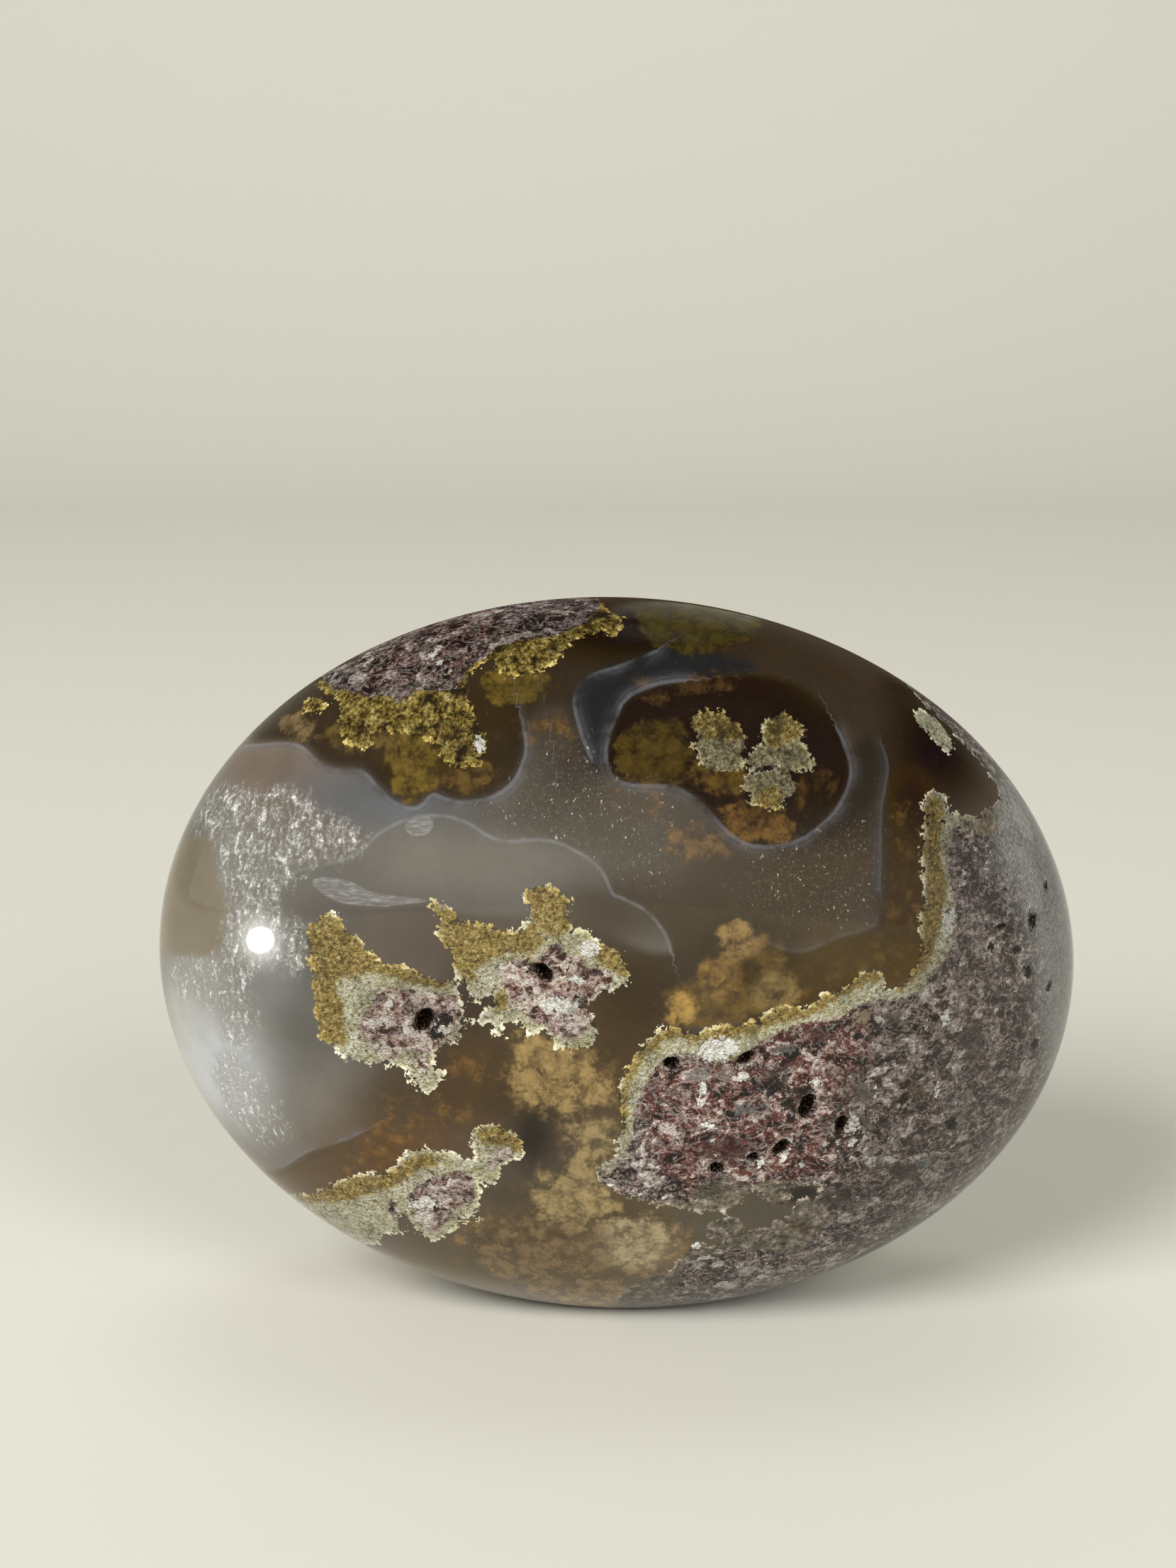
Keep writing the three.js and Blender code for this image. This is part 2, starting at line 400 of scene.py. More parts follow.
# Where the rock is the granular mauve of the hearts.
mauveParts = {
    "leftIsland": [
        (503, 1440), (516, 1424), (527, 1412), (532, 1398), (556, 1392), (596, 1399), (646, 1404),
        (652, 1424), (648, 1446), (630, 1464), (604, 1486), (572, 1484), (540, 1476), (506, 1464),
    ],
    "leftFoot": [(522, 1468), (546, 1470), (570, 1482), (566, 1494), (546, 1496), (528, 1484)],
    "leftTail": [(586, 1490), (604, 1486), (606, 1512), (592, 1514)],
    "middle": [
        (702, 1362), (716, 1350), (740, 1358), (758, 1356), (774, 1334), (790, 1331), (798, 1344),
        (824, 1350), (822, 1362), (852, 1369), (870, 1378), (850, 1400), (828, 1420), (836, 1450),
        (806, 1468), (780, 1458), (764, 1440), (752, 1444), (736, 1426), (718, 1414), (720, 1398),
        (706, 1386),
    ],
    "low": [
        (574, 1686), (586, 1674), (614, 1661), (644, 1649), (664, 1654), (674, 1682), (666, 1698),
        (642, 1710), (630, 1726), (606, 1740), (590, 1728), (578, 1704),
    ],
    "lowLeft": [(542, 1706), (550, 1692), (561, 1698), (565, 1711), (550, 1717)],
    "lowHorn": [(684, 1640), (700, 1621), (722, 1618), (724, 1631), (702, 1642), (694, 1656)],
    "strip": [
        (440, 940), (462, 966), (486, 976), (506, 976), (522, 986), (546, 978), (562, 996), (570, 982),
        (600, 972), (640, 976), (652, 958), (660, 944), (684, 926), (706, 908), (760, 900), (790, 896),
        (812, 884), (838, 876), (856, 840), (700, 838), (560, 880),
    ],
    "matrix": [
        (842, 1664), (868, 1650), (884, 1630), (890, 1600), (900, 1550), (912, 1524), (930, 1500),
        (950, 1486), (978, 1486), (1012, 1498), (1044, 1490), (1072, 1470), (1098, 1454), (1146, 1440),
        (1182, 1438), (1204, 1420), (1236, 1410), (1252, 1414), (1298, 1402), (1316, 1370), (1342, 1344),
        (1348, 1280), (1340, 1236), (1330, 1200), (1344, 1184), (1336, 1164), (1360, 1168), (1384, 1180),
        (1412, 1176), (1424, 1130), *beyondRim, (940, 1900), (950, 1820), (966, 1784), (990, 1770),
        (1040, 1760), (1090, 1764), (1130, 1770), (1150, 1740), (1180, 1716), (1160, 1700), (1150, 1690),
        (1160, 1668), (1100, 1664), (1060, 1670), (1000, 1690), (950, 1697), (884, 1686), (860, 1674),
    ],
}


def fieldOf(places, parts):
    # the deepest of the outlines at each place
    field = np.full(len(places), -edgeReach)
    for outline in parts.values():
        field = np.maximum(field, depthInside(places, rounded(photoToMap(outline))))
    return field


def squareToDisc(steps):
    # a square grid drawn out to a disc, ring by ring, so that its cells stay about the same size
    line = np.linspace(-1.0, 1.0, steps + 1)
    across, up = np.meshgrid(line, line, indexing="ij")
    wide = np.abs(across) > np.abs(up)
    safeAcross = np.where(across == 0, tiny, across)
    safeUp = np.where(up == 0, tiny, up)
    angle = np.where(wide, math.pi / 4 * up / safeAcross, math.pi / 2 - math.pi / 4 * across / safeUp)
    radius = np.where(wide, across, up)
    return radius * np.cos(angle), radius * np.sin(angle)


# The open pits: x and z of the middle, width, stretch along the pit's turn, that turn in degrees, depth,
# and -1 for the front face or 1 for the back.
pits = {
    "upperLeft": (-12.0, 22.7, 1.1, 1.6, 55, 0.8, -1),
    "underCloud": (-4.6, 25.9, 0.9, 1.7, -40, 0.9, -1),
    "middle": (3.2, 20.1, 0.9, 1.2, 0, 0.6, -1),
    "mustard": (7.8, 20.4, 0.7, 1.8, 30, 0.5, -1),
    "matrixUpper": (11.7, 17.0, 1.0, 1.8, 68, 0.7, -1),
    "matrixRight": (13.9, 15.6, 0.8, 1.6, 75, 0.6, -1),
    "matrixCentre": (10.1, 14.2, 0.8, 1.8, 50, 0.6, -1),
    "matrixLeft": (8.4, 13.6, 0.7, 1.2, 0, 0.5, -1),
    "matrixLow": (6.1, 12.9, 0.8, 1.3, 15, 0.5, -1),
    "backHigh": (15.5, 27.0, 1.0, 1.5, 20, 0.7, 1),
    "backLow": (20.0, 17.0, 0.9, 1.3, -40, 0.6, 1),
    "backMiddle": (8.5, 14.0, 1.1, 1.6, 65, 0.7, 1),
}


def skinGrid(steps):
    # both faces as square grids drawn out to discs that share their border at the rim;
    # reach along the profile grows evenly with the disc's radius
    discX, discY = squareToDisc(steps)
    count = steps + 1
    index = np.arange(count * count).reshape(count, count)
    border = np.zeros((count, count), bool)
    border[0, :] = border[-1, :] = border[:, 0] = border[:, -1] = True
    backIndex = index.copy()
    backIndex[~border] = count * count + np.arange((~border).sum())
    radius = np.hypot(discX, discY)
    angle = np.arctan2(discY, discX)

    def quads(grid, outward):
        corners = [grid[:-1, :-1], grid[1:, :-1], grid[1:, 1:], grid[:-1, 1:]]
        if not outward:
            corners.reverse()
        return np.stack(corners, -1).reshape(-1, 4)

    inner = ~border
    reach = np.concatenate([radius.ravel(), 2.0 - radius[inner]]) * rimReach
    angles = np.concatenate([angle.ravel(), angle[inner]])
    faces = np.concatenate([quads(index, True), quads(backIndex, False)])
    return reach, angles, faces


def skinPoints(reach, angle):
    # the skin point at a reach along the profile and an angle round the oval
    front = np.minimum(reach, 2 * rimReach - reach)
    turn = np.interp(front, profileReach, profileTurn)
    radius = np.sin(turn) ** (2 / fullness)
    through = np.where(reach > rimReach, 1.0, -1.0) * halfThick * np.cos(turn) ** (2 / fullness)
    return fromStone(halfLong * radius * np.cos(angle), through, halfHigh * radius * np.sin(angle))


def skinNormals(points):
    # the slope of skinLevel, pointing out
    step = 0.01
    slope = np.stack([
        skinLevel(points + step * axis) - skinLevel(points - step * axis) for axis in np.eye(3)
    ], -1)
    return slope / np.linalg.norm(slope, axis=1)[:, None]


def drawnToPits(points):
    # pulls the skin's points towards each pit, so that its wall has enough of them:
    # a distance d inside the reach R becomes R (d / R)^power, and the point goes back onto the skin
    reach, power = stone["pullReach"], stone["pullPower"]
    for x, z, _, _, _, _, face in pits.values():
        off = points[:, [0, 2]] - (x, z)
        far = np.hypot(*off.T)
        near = (far < reach) & (points[:, 1] * face > 0)
        scale = (np.maximum(far[near], tiny) / reach) ** (power - 1)
        points[np.ix_(near, [0, 2])] = np.array((x, z)) + off[near] * scale[:, None]
    along, _, up = toStone(points)
    radius = np.clip(np.hypot(along / halfLong, up / halfHigh), 0, 1)
    through = halfThick * (1 - radius**fullness) ** (1 / fullness)
    flatter = radius < stone["pullInside"]
    points[flatter, 1] = (np.sign(points[:, 1]) * through + centre[1])[flatter]
    return points


def pushPits(points):
    # each pit is half an egg sunk into the skin: depth times the root of 1 - (across)^2 - (along)^2
    normals = skinNormals(points)
    sunk = np.zeros(len(points))
    inPit = np.full(len(points), farOut["pit"])
    for x, z, width, stretch, turn, depth, face in pits.values():
        turned = math.radians(turn)
        near = (points[:, 1] * face > 0)
        offX, offZ = points[:, 0] - x, points[:, 2] - z
        longWay = (offX * math.cos(turned) + offZ * math.sin(turned)) / (width * stretch / 2)
        shortWay = (-offX * math.sin(turned) + offZ * math.cos(turned)) / (width / 2)
        egg = 1 - longWay**2 - shortWay**2
        sunk = np.where(near, np.maximum(sunk, depth * np.sqrt(np.clip(egg, 0, 1))), sunk)
        inPit = np.where(near, np.maximum(inPit, egg * width / 4), inPit)
    return points - normals * sunk[:, None], inPit


# The broad lamps, in metres and watts, and what the room adds: the paint below is given as it shows in the
# photograph, and is worked back from that through the light that falls on it.
lamps = {
    "key": {"place": (-0.50, -0.60, 0.60), "size": 0.5, "power": 9.0},
    "fill": {"place": (0.45, -0.70, 0.50), "size": 0.5, "power": 4.0},
}
roomLight = 0.56   # brightness of a white spot without the lamps
sheen = 0.0145     # what the polish mirrors of the room
paintRange = (0.0008, 0.95)   # the darkest and the palest paint


def lightOn(points):
    # brightness of a white spot: the room, and for each lamp its power times the cosine on the skin
    # over the square of pi times its distance; the back is lit like the front, so that its paint is alike
    normals = skinNormals(points)
    normals[:, 1] = -np.abs(normals[:, 1])
    total = np.full(len(points), roomLight)
    for lamp in lamps.values():
        way = np.array(lamp["place"]) / metre - points
        far = np.linalg.norm(way, axis=1)
        facing = np.clip((normals * way).sum(1) / far, 0, 1)
        total += lamp["power"] * facing / (math.pi * far * metre) ** 2
    return total


def asSeen(colours, light):
    # the paint that shows as these colours: (seen - sheen) / light, kept in its range
    paint = colours.copy()
    paint[:, :3] = np.clip((colours[:, :3] - sheen) / light[:, None], *paintRange)
    return paint


class Wire:
    # one output of a material's node; sums on it add Math nodes
    def __init__(self, board, socket):
        self.board = board
        self.socket = socket

    def sum(self, operation, first, second=None):
        values = {0: first} if second is None else {0: first, 1: second}
        return self.board.add("ShaderNodeMath", {"operation": operation}, values)

    def __add__(self, other):
        return self.sum("ADD", self, other)

    __radd__ = __add__

    def __sub__(self, other):
        return self.sum("SUBTRACT", self, other)

    def __rsub__(self, other):
        return self.sum("SUBTRACT", other, self)

    def __mul__(self, other):
        return self.sum("MULTIPLY", self, other)

    __rmul__ = __mul__

    def __abs__(self):
        return self.sum("ABSOLUTE", self)

    def beside(self, name):
        # another output of the same node
        return Wire(self.board, self.socket.node.outputs[name])

    def most(self, other):
        return self.sum("MAXIMUM", self, other)

    def wave(self):
        return self.sum("COSINE", self)

    def fade(self, low, high):
        # 0 at low and 1 at high, with soft ends
        return self.board.add(
            "ShaderNodeMapRange",
            {"interpolation_type": "SMOOTHSTEP"},
            {"Value": self, "From Min": low, "From Max": high},
        )


class Board:
    # the nodes of one material
    def __init__(self, name):
        self.material = bpy.data.materials.new(name)
        self.material.use_nodes = True
        self.tree = self.material.node_tree
        self.tree.nodes.clear()

    def add(self, kind, settings=None, values=None, output=0):
        # settings first, a ramp's stops among them, then the sockets' values or links
        node = self.tree.nodes.new(kind)
        for name, value in (settings or {}).items():
            if name == "stops":
                stops = node.color_ramp.elements
                for number, (place, shade) in enumerate(value):
                    stop = stops[number] if number < 2 else stops.new(1.0)
                    stop.position = place
                    stop.color = linear(*shade)
            else:
                setattr(node, name, value)
        for name, value in (values or {}).items():
            if isinstance(value, Wire):
                self.tree.links.new(value.socket, node.inputs[name])
            else:
                node.inputs[name].default_value = value
        return Wire(self, node.outputs[output])

    def place(self):
        # the point on the piece in millimetres
        spot = self.add("ShaderNodeTexCoord", output="Object")
        return self.add("ShaderNodeVectorMath", {"operation": "SCALE"}, {0: spot, "Scale": 1000.0})

    def field(self, name):
        return self.add("ShaderNodeAttribute", {"attribute_name": name}, output="Fac")

    def tint(self, name):
        return self.add("ShaderNodeAttribute", {"attribute_name": name}, output="Color")

    def noise(self, spot, scale, detail=2.0, roughness=0.5, distortion=0.0):
        # about -1 to 1
        grey = self.add("ShaderNodeTexNoise", {}, {
            "Vector": spot, "Scale": scale, "Detail": detail,
            "Roughness": roughness, "Distortion": distortion,
        })
        return (grey - 0.5) * 2.0

    def cells(self, spot, scale, output="Distance"):
        # the way to the nearest of scattered points, or that point's own colour
        return self.add("ShaderNodeTexVoronoi", {}, {"Vector": spot, "Scale": scale}, output)

    def blend(self, under, over, share):
        # colours under and over, by share; a Mix node's colour sockets are its seventh and eighth
        return self.add("ShaderNodeMix", {"data_type": "RGBA"}, {0: share, 6: under, 7: over}, 2)

    def ramp(self, share, stops):
        # colours by a value from 0 to 1; a stop is its place and colour
        return self.add("ShaderNodeValToRGB", {"stops": stops}, {0: share})

    def red(self, colour):
        # a cell's colour is random, so its red is a random number from 0 to 1
        return self.add("ShaderNodeSeparateColor", {}, {0: colour})

    def stretched(self, spot, sizes):
        return self.add("ShaderNodeVectorMath", {"operation": "MULTIPLY"}, {0: spot, 1: sizes})

    def turned(self, spot, turn, sizes):
        return self.add("ShaderNodeMapping", {}, {"Vector": spot, "Rotation": turn, "Scale": sizes})

    def shift(self, spot, way):
        return self.add("ShaderNodeVectorMath", {"operation": "ADD"}, {0: spot, 1: way})

    def warped(self, spot, scale, amount):
        # the point pushed about by up to half the amount, in patches of 1 / scale
        push = self.add("ShaderNodeTexNoise", {}, {"Vector": spot, "Scale": scale, "Detail": 1.5}, "Color")
        push = self.add("ShaderNodeVectorMath", {"operation": "SUBTRACT"}, {0: push, 1: (0.5, 0.5, 0.5)})
        return self.add("ShaderNodeVectorMath", {"operation": "MULTIPLY_ADD"}, {
            0: push, 1: (amount, amount, amount), 2: spot,
        })

    def scaled(self, vector, amount):
        return self.add("ShaderNodeVectorMath", {"operation": "SCALE"}, {0: vector, "Scale": amount})

    def finish(self, surface, volume=None):
        output = self.tree.nodes.new("ShaderNodeOutputMaterial")
        self.tree.links.new(surface.socket, output.inputs["Surface"])
        if volume is not None:
            self.tree.links.new(volume.socket, output.inputs["Volume"])
        return self.material


def meshPiece(name, points, faces, fields=None, tints=None):
    # points in millimetres, faces as rows of four or three; fields and tints become the mesh's attributes
    mesh = bpy.data.meshes.new(name)
    corners = faces.shape[1]
    mesh.vertices.add(len(points))
    mesh.vertices.foreach_set("co", (points * metre).astype(np.float32).ravel())
    mesh.loops.add(faces.size)
    mesh.loops.foreach_set("vertex_index", faces.astype(np.int32).ravel())
    mesh.polygons.add(len(faces))
    mesh.polygons.foreach_set("loop_start", np.arange(0, faces.size, corners, dtype=np.int32))
    mesh.polygons.foreach_set("use_smooth", np.ones(len(faces), bool))
    mesh.update(calc_edges=True)
    mesh.validate()
    for key, values in (fields or {}).items():
        mesh.attributes.new(key, "FLOAT", "POINT").data.foreach_set("value", values.astype(np.float32))
    for key, values in (tints or {}).items():
        mesh.attributes.new(key, "FLOAT_COLOR", "POINT").data.foreach_set(
            "color", values.astype(np.float32).ravel()
        )
    piece = bpy.data.objects.new(name, mesh)
    bpy.context.scene.collection.objects.link(piece)
    return piece


# Colours of the clear rock, laid one over another. A bell is a soft spot: its middle and its reach across
# and up in photo pixels, its colour, strength and turn in degrees. A part is an outline with its colour, the
# width of its soft edge in millimetres and its strength.
def bell(middle, reach, colour, strength=0.9, turn=0.0):
    return {"middle": middle, "reach": reach, "colour": colour, "strength": strength, "turn": turn}


def part(outline, colour, soft=0.5, strength=1.0):
    return {"outline": outline, "colour": colour, "soft": soft, "strength": strength}


bellPower = 2.6
# Where no layer lies.
bareColours = {"ground": (95, 85, 75), "plume": (118, 92, 54), "patch": (110, 100, 92)}
groundLayers = {
    "smokyRight": bell((1060, 1000), (400, 240), (71, 61, 49), 1.0, 10),
    "hazyMiddle": bell((650, 1180), (360, 130), (114, 108, 99), 0.95),
    # painted light: the left side is paler where the light falls on it
    "litLeft": bell((330, 1330), (190, 330), (144, 141, 133), 1.0),
    "roseUpperLeft": bell((400, 1085), (150, 70), (140, 121, 102), 0.9, -20),
    "blueUpperLeft": bell((530, 1135), (150, 45), (111, 113, 115), 0.9, -8),
    "speckled": bell((830, 1150), (150, 90), (97, 89, 78)),
    "centre": bell((880, 1250), (90, 60), (95, 88, 78), 0.8),
    "rightOfCentre": bell((1150, 1240), (150, 120), (77, 65, 49)),
    "overLumps": bell((960, 1330), (150, 80), (72, 61, 43)),
    "underCloud": bell((620, 1330), (260, 75), (101, 90, 79), 0.95),
    # painted shade: the clear rock beside the matrix and between and under the islands is painted darker,
    # where the moss keeps light from it
    "darkBesideMatrix": bell((884, 1424), (80, 115), (64, 50, 31), 0.95),
    "betweenIslands": bell((670, 1425), (48, 80), (67, 54, 46), 0.95),
    "underIslands": bell((650, 1530), (124, 76), (76, 59, 38), 0.92),
    "paleMiddleLeft": bell((432, 1420), (74, 150), (102, 99, 93), 0.92),
    # painted reflection of light along the left rim
    "leftRimReflection": bell((265, 1470), (70, 150), (196, 195, 190), 0.95, -12),
    "lowLeftRimReflection": bell((322, 1524), (78, 92), (200, 203, 206), 0.9),
    "lowLeftHaze": bell((480, 1565), (90, 75), (132, 126, 117), 0.9),
    "rust": bell((545, 1625), (110, 70), (98, 74, 46), 0.95, 20),
    # painted shade under the left island
    "underLeftIsland": bell((568, 1550), (88, 52), (82, 67, 49), 0.85, 20),
    # painted glow beside the highlight
    "glowBesideHighlight": bell((380, 1365), (48, 60), (150, 151, 152), 0.5),
    "behindPlume": bell((790, 1510), (120, 90), (92, 74, 48), 0.9),
    "besideMatrixLow": bell((900, 1640), (60, 90), (104, 88, 60), 0.9),
    "foot": bell((850, 1740), (230, 110), (96, 82, 60), 0.95, 10),
    "blueGap": bell((752, 1606), (26, 46), (50, 46, 40), 0.95),
    "footRight": bell((896, 1765), (60, 40), (144, 130, 104), 0.85),
    "footLeft": bell((750, 1752), (70, 40), (98, 80, 58), 0.8),
    "lowEdge": bell((640, 1790), (150, 40), (92, 82, 62), 0.9, 28),
    "darkCrown": part([
        (330, 985), (345, 1050), *scallopLine, (742, 1004), (770, 992), (806, 1002), (812, 966), (836, 948),
        (880, 930), (925, 912), (1010, 918), (1050, 900), (1060, 860), (900, 820), (600, 880), (400, 960),
    ], (72, 61, 48), 0.6),
    "topDark": bell((890, 890), (170, 60), (43, 35, 25), 0.95, 0),
    "fringeGold": bell((600, 1070), (80, 40), (82, 64, 34), 0.7),
    "fringeBrown": bell((700, 1000), (60, 50), (62, 50, 32), 0.7),
    "besideCrown": bell((812, 1062), (60, 60), (74, 66, 56), 0.7),
    "blueStrip": part([
        (806, 1000), (812, 968), (836, 949), (872, 939), (906, 927), (930, 914), (1010, 920), (1080, 940),
        (1040, 952), (964, 962), (905, 974), (885, 985), (870, 1010), (858, 1045), (852, 1082), (838, 1092),
        (822, 1050),
    ], (50, 50, 50), 0.6),
    "halo": part([
        (851, 1078), (860, 1040), (870, 1010), (886, 985), (906, 974), (936, 966), (966, 962), (1002, 955),
        (1060, 950), (1130, 965), (1170, 1000), (1192, 1040), *reversed(haloLine), (860, 1096),
    ], (50, 39, 26), 0.4),
    "haloRim": part([
        (1201, 1050), (1203, 1085), (1196, 1116), (1176, 1150), (1150, 1175), (1120, 1191), (1090, 1198),
        (1130, 1200), (1180, 1180), (1220, 1150), (1252, 1110), (1256, 1080), (1246, 1050), (1225, 1040),
    ], (58, 52, 46), 0.5, 0.8),
    "darkUpperRight": bell((1320, 1055), (100, 95), (42, 33, 24), 1.0),
    "smokyTop": bell((1180, 960), (90, 50), (71, 61, 49), 0.8, -25),
    "topRightEdge": bell((1280, 980), (50, 40), (52, 43, 34), 0.8),
    "golden": part([
        (1256, 1096), (1246, 1130), (1244, 1300), (1226, 1313), (1180, 1323), (1142, 1344), (1120, 1345),
        (1060, 1340), (1000, 1400), (1080, 1460), (1240, 1400), (1320, 1380), (1320, 1110), (1290, 1080),
    ], (74, 56, 26), 0.7, 0.95),
    "goldenFoot": bell((1190, 1360), (90, 50), (92, 74, 46), 0.8),
    "rightOfHalo": bell((1190, 1165), (90, 34), (60, 53, 44), 0.6),
    "greyStrip": bell((1240, 1190), (12, 120), (68, 63, 56), 0.5),
    "goldenDark": bell((1290, 1130), (30, 50), (48, 36, 20), 0.8),
    "cloud": part([
        *cloudLine, (900, 1340), (830, 1300), (740, 1290), (660, 1290), (606, 1274), (575, 1275),
        (541, 1280), (515, 1278), (490, 1276), (470, 1271), (450, 1258), (437, 1244), (420, 1256),
        (400, 1290), (384, 1290),
    ], (118, 114, 106), 0.35, 0.85),
    "cloudMiddle": bell((660, 1215), (160, 42), (134, 128, 117), 0.8),
    "cloudEnd": bell((860, 1290), (90, 45), (84, 74, 60), 0.95),
    "olive": part([
        (246, 1180), (276, 1184), (300, 1172), (304, 1230), (318, 1262), (322, 1300), (312, 1340),
        (290, 1352), (262, 1350), (246, 1346), (200, 1340), (210, 1230),
    ], (141, 130, 108), 0.35, 0.9),
    "lowVee": part([
        (345, 1670), *reversed(veeLine), (520, 1640), (500, 1680), (440, 1690), (380, 1700),
    ], (92, 76, 56), 0.35, 0.85),
    "glassyFoot": part([
        (944, 1703), (984, 1710), (1018, 1710), (1044, 1694), (1064, 1676), (1084, 1699), (1112, 1704),
        (1124, 1692), (1120, 1672), (1160, 1672), (1156, 1690), (1126, 1696), (1118, 1713), (1098, 1722),
        (1086, 1738), (1060, 1738), (1020, 1754), (1000, 1764), (984, 1752), (962, 1740), (950, 1722),
    ], (88, 82, 70), 0.3, 0.95),
    "glassyDark": part([
        (1116, 1670), (1160, 1672), (1154, 1690), (1126, 1694), (1112, 1702),
    ], (48, 45, 40), 0.3, 0.95),
}
# Plumes of moss under the polish, softer the deeper they lie.
plumes = {
    "underFringe": part([
        (536, 1020), (600, 1040), (618, 1060), (616, 1110), (600, 1130), (572, 1134), (552, 1110),
        (546, 1070),
    ], (124, 104, 52), 0.6),
    "fringeRight": part([
        (626, 1070), (700, 1070), (700, 1112), (650, 1122), (624, 1110),
    ], (112, 90, 54), 0.7, 0.75),
    "leftBlob": part([
        (396, 1004), (440, 1006), (452, 1030), (440, 1048), (400, 1046),
    ], (128, 108, 78), 0.8, 0.85),
    "fringeClumps": part([
        (672, 950), (720, 944), (776, 944), (774, 984), (730, 996), (690, 992),
    ], (112, 94, 48), 0.4),
    "fringeBehind": part([
        (730, 1000), (812, 998), (816, 1052), (760, 1056), (726, 1040),
    ], (92, 72, 48), 1.0, 0.55),
    "fringeGap": part([
        (452, 1020), (520, 1024), (560, 1020), (560, 1050), (500, 1062), (462, 1052),
    ], (116, 96, 56), 0.7, 0.8),
    "pairLeft": part([
        (866, 1040), (900, 1016), (950, 1014), (980, 1040), (976, 1100), (930, 1110), (872, 1100),
    ], (90, 74, 40), 0.7),
    "pairMiddle": part([
        (972, 1070), (1060, 1080), (1064, 1120), (1010, 1122), (976, 1104),
    ], (108, 86, 46), 0.6, 0.9),
    "pairFoot": part([
        (1006, 1142), (1060, 1134), (1120, 1146), (1124, 1180), (1070, 1192), (1020, 1182),
    ], (122, 92, 50), 0.9),
    "pairRight": part([
        (1120, 1070), (1160, 1072), (1186, 1100), (1160, 1146), (1122, 1150),
    ], (78, 58, 36), 1.0, 0.6),
    "arc": part([
        (886, 966), (940, 946), (1034, 946), (1040, 976), (960, 984), (900, 992),
    ], (74, 58, 42), 1.0, 0.7),
    "belowHalo": part([
        (936, 1170), (980, 1166), (1024, 1180), (1020, 1216), (960, 1220),
    ], (114, 94, 68), 1.4, 0.8),
    "leftBelow": part([(852, 1108), (940, 1112), (940, 1146), (880, 1150)], (98, 76, 56), 1.4, 0.5),
    "top": part([
        (900, 852), (1076, 856), (1070, 896), (1010, 924), (930, 918), (898, 890),
    ], (78, 68, 38), 0.5),
    "clumps": part([
        (930, 1410), (950, 1398), (980, 1384), (1010, 1350), (1040, 1320), (1080, 1316), (1110, 1350),
        (1130, 1386), (1128, 1420), (1080, 1440), (1000, 1450), (940, 1448),
    ], (112, 90, 50), 0.9),
    "yellowBall": part([
        (940, 1420), (948, 1402), (968, 1400), (982, 1416), (980, 1436), (962, 1446), (944, 1440),
    ], (186, 150, 84), 0.3),
    "highBall": part([
        (1010, 1324), (1020, 1302), (1044, 1296), (1068, 1310), (1070, 1336), (1050, 1352), (1022, 1348),
    ], (158, 130, 84), 0.6),
    "middleBall": part([
        (984, 1372), (996, 1350), (1022, 1346), (1044, 1362), (1044, 1390), (1024, 1408), (996, 1402),
    ], (144, 114, 66), 0.6),
    "rightBall": part([
        (1062, 1396), (1076, 1374), (1104, 1372), (1126, 1390), (1122, 1418), (1092, 1430), (1068, 1420),
    ], (138, 116, 72), 0.6),
    # painted shade between the balls of moss
    "shadeBetweenBalls": part([
        (1046, 1356), (1066, 1352), (1072, 1372), (1058, 1392), (1046, 1386),
    ], (70, 54, 30), 0.4, 0.9),
    "golden": part([
        (1250, 1120), (1304, 1120), (1300, 1360), (1240, 1384), (1160, 1410), (1130, 1400), (1150, 1360),
        (1230, 1330), (1252, 1290),
    ], (82, 62, 28), 0.8, 0.4),
    "deepTop": part([
        (720, 1470), (744, 1452), (790, 1466), (838, 1488), (862, 1520), (860, 1560), (800, 1572),
        (740, 1566), (716, 1520),
    ], (170, 143, 94), 2.2),
    "deepRust": part([
        (622, 1484), (680, 1480), (700, 1530), (660, 1540), (624, 1530),
    ], (96, 72, 44), 1.4, 0.55),
    "deepLow": part([
        (800, 1580), (868, 1560), (872, 1660), (870, 1700), (860, 1750), (780, 1752), (742, 1700),
        (760, 1660), (796, 1650),
    ], (162, 141, 100), 2.0),
    "foot": part([
        (640, 1740), (700, 1700), (780, 1740), (960, 1716), (980, 1760), (900, 1830), (840, 1850),
        (740, 1820), (660, 1780),
    ], (116, 98, 72), 2.2, 0.85),
    "footBright": part([
        (866, 1716), (930, 1712), (950, 1758), (902, 1790), (860, 1770),
    ], (164, 148, 116), 1.4),
    "rust": part([
        (500, 1600), (520, 1560), (580, 1540), (660, 1530), (668, 1600), (600, 1620), (540, 1650),
        (470, 1668),
    ], (106, 78, 46), 1.8, 0.45),
}


def outlineShare(places, layer):
    # an outline's strength, fading over its soft edge
    deep = depthInside(places, rounded(photoToMap(layer["outline"])))
    share = np.clip(0.5 + deep / layer["soft"] / 2, 0, 1)
    return share * share * (3 - 2 * share) * layer["strength"]


def bare(places, name):
    # one colour at every place
    return np.tile(np.array(linear(*bareColours[name])), (len(places), 1))


def cover(colour, layer, share):
    # lays a layer's colour over the others: under (1 - share) + over share
    share = share[:, None]
    colour[:, :3] = colour[:, :3] * (1 - share) + np.array(linear(*layer["colour"])[:3]) * share


def groundColours(places):
    # a bell covers by strength times e^-(distance^bellPower); a part covers by strength, fading over its
    # soft edge
    colour = bare(places, "ground")
    for layer in groundLayers.values():
        if "outline" in layer:
            share = outlineShare(places, layer)
        else:
            off = (places - photoToMap([layer["middle"]])[0]) * photoScale
            turned = math.radians(layer["turn"])
            along = off[:, 0] * math.cos(turned) + off[:, 1] * math.sin(turned)
            up = off[:, 1] * math.cos(turned) - off[:, 0] * math.sin(turned)
            squared = (along / layer["reach"][0]) ** 2 + (up / layer["reach"][1]) ** 2
            share = np.exp(-(squared ** (bellPower / 2))) * layer["strength"]
        cover(colour, layer, share)
    return colour


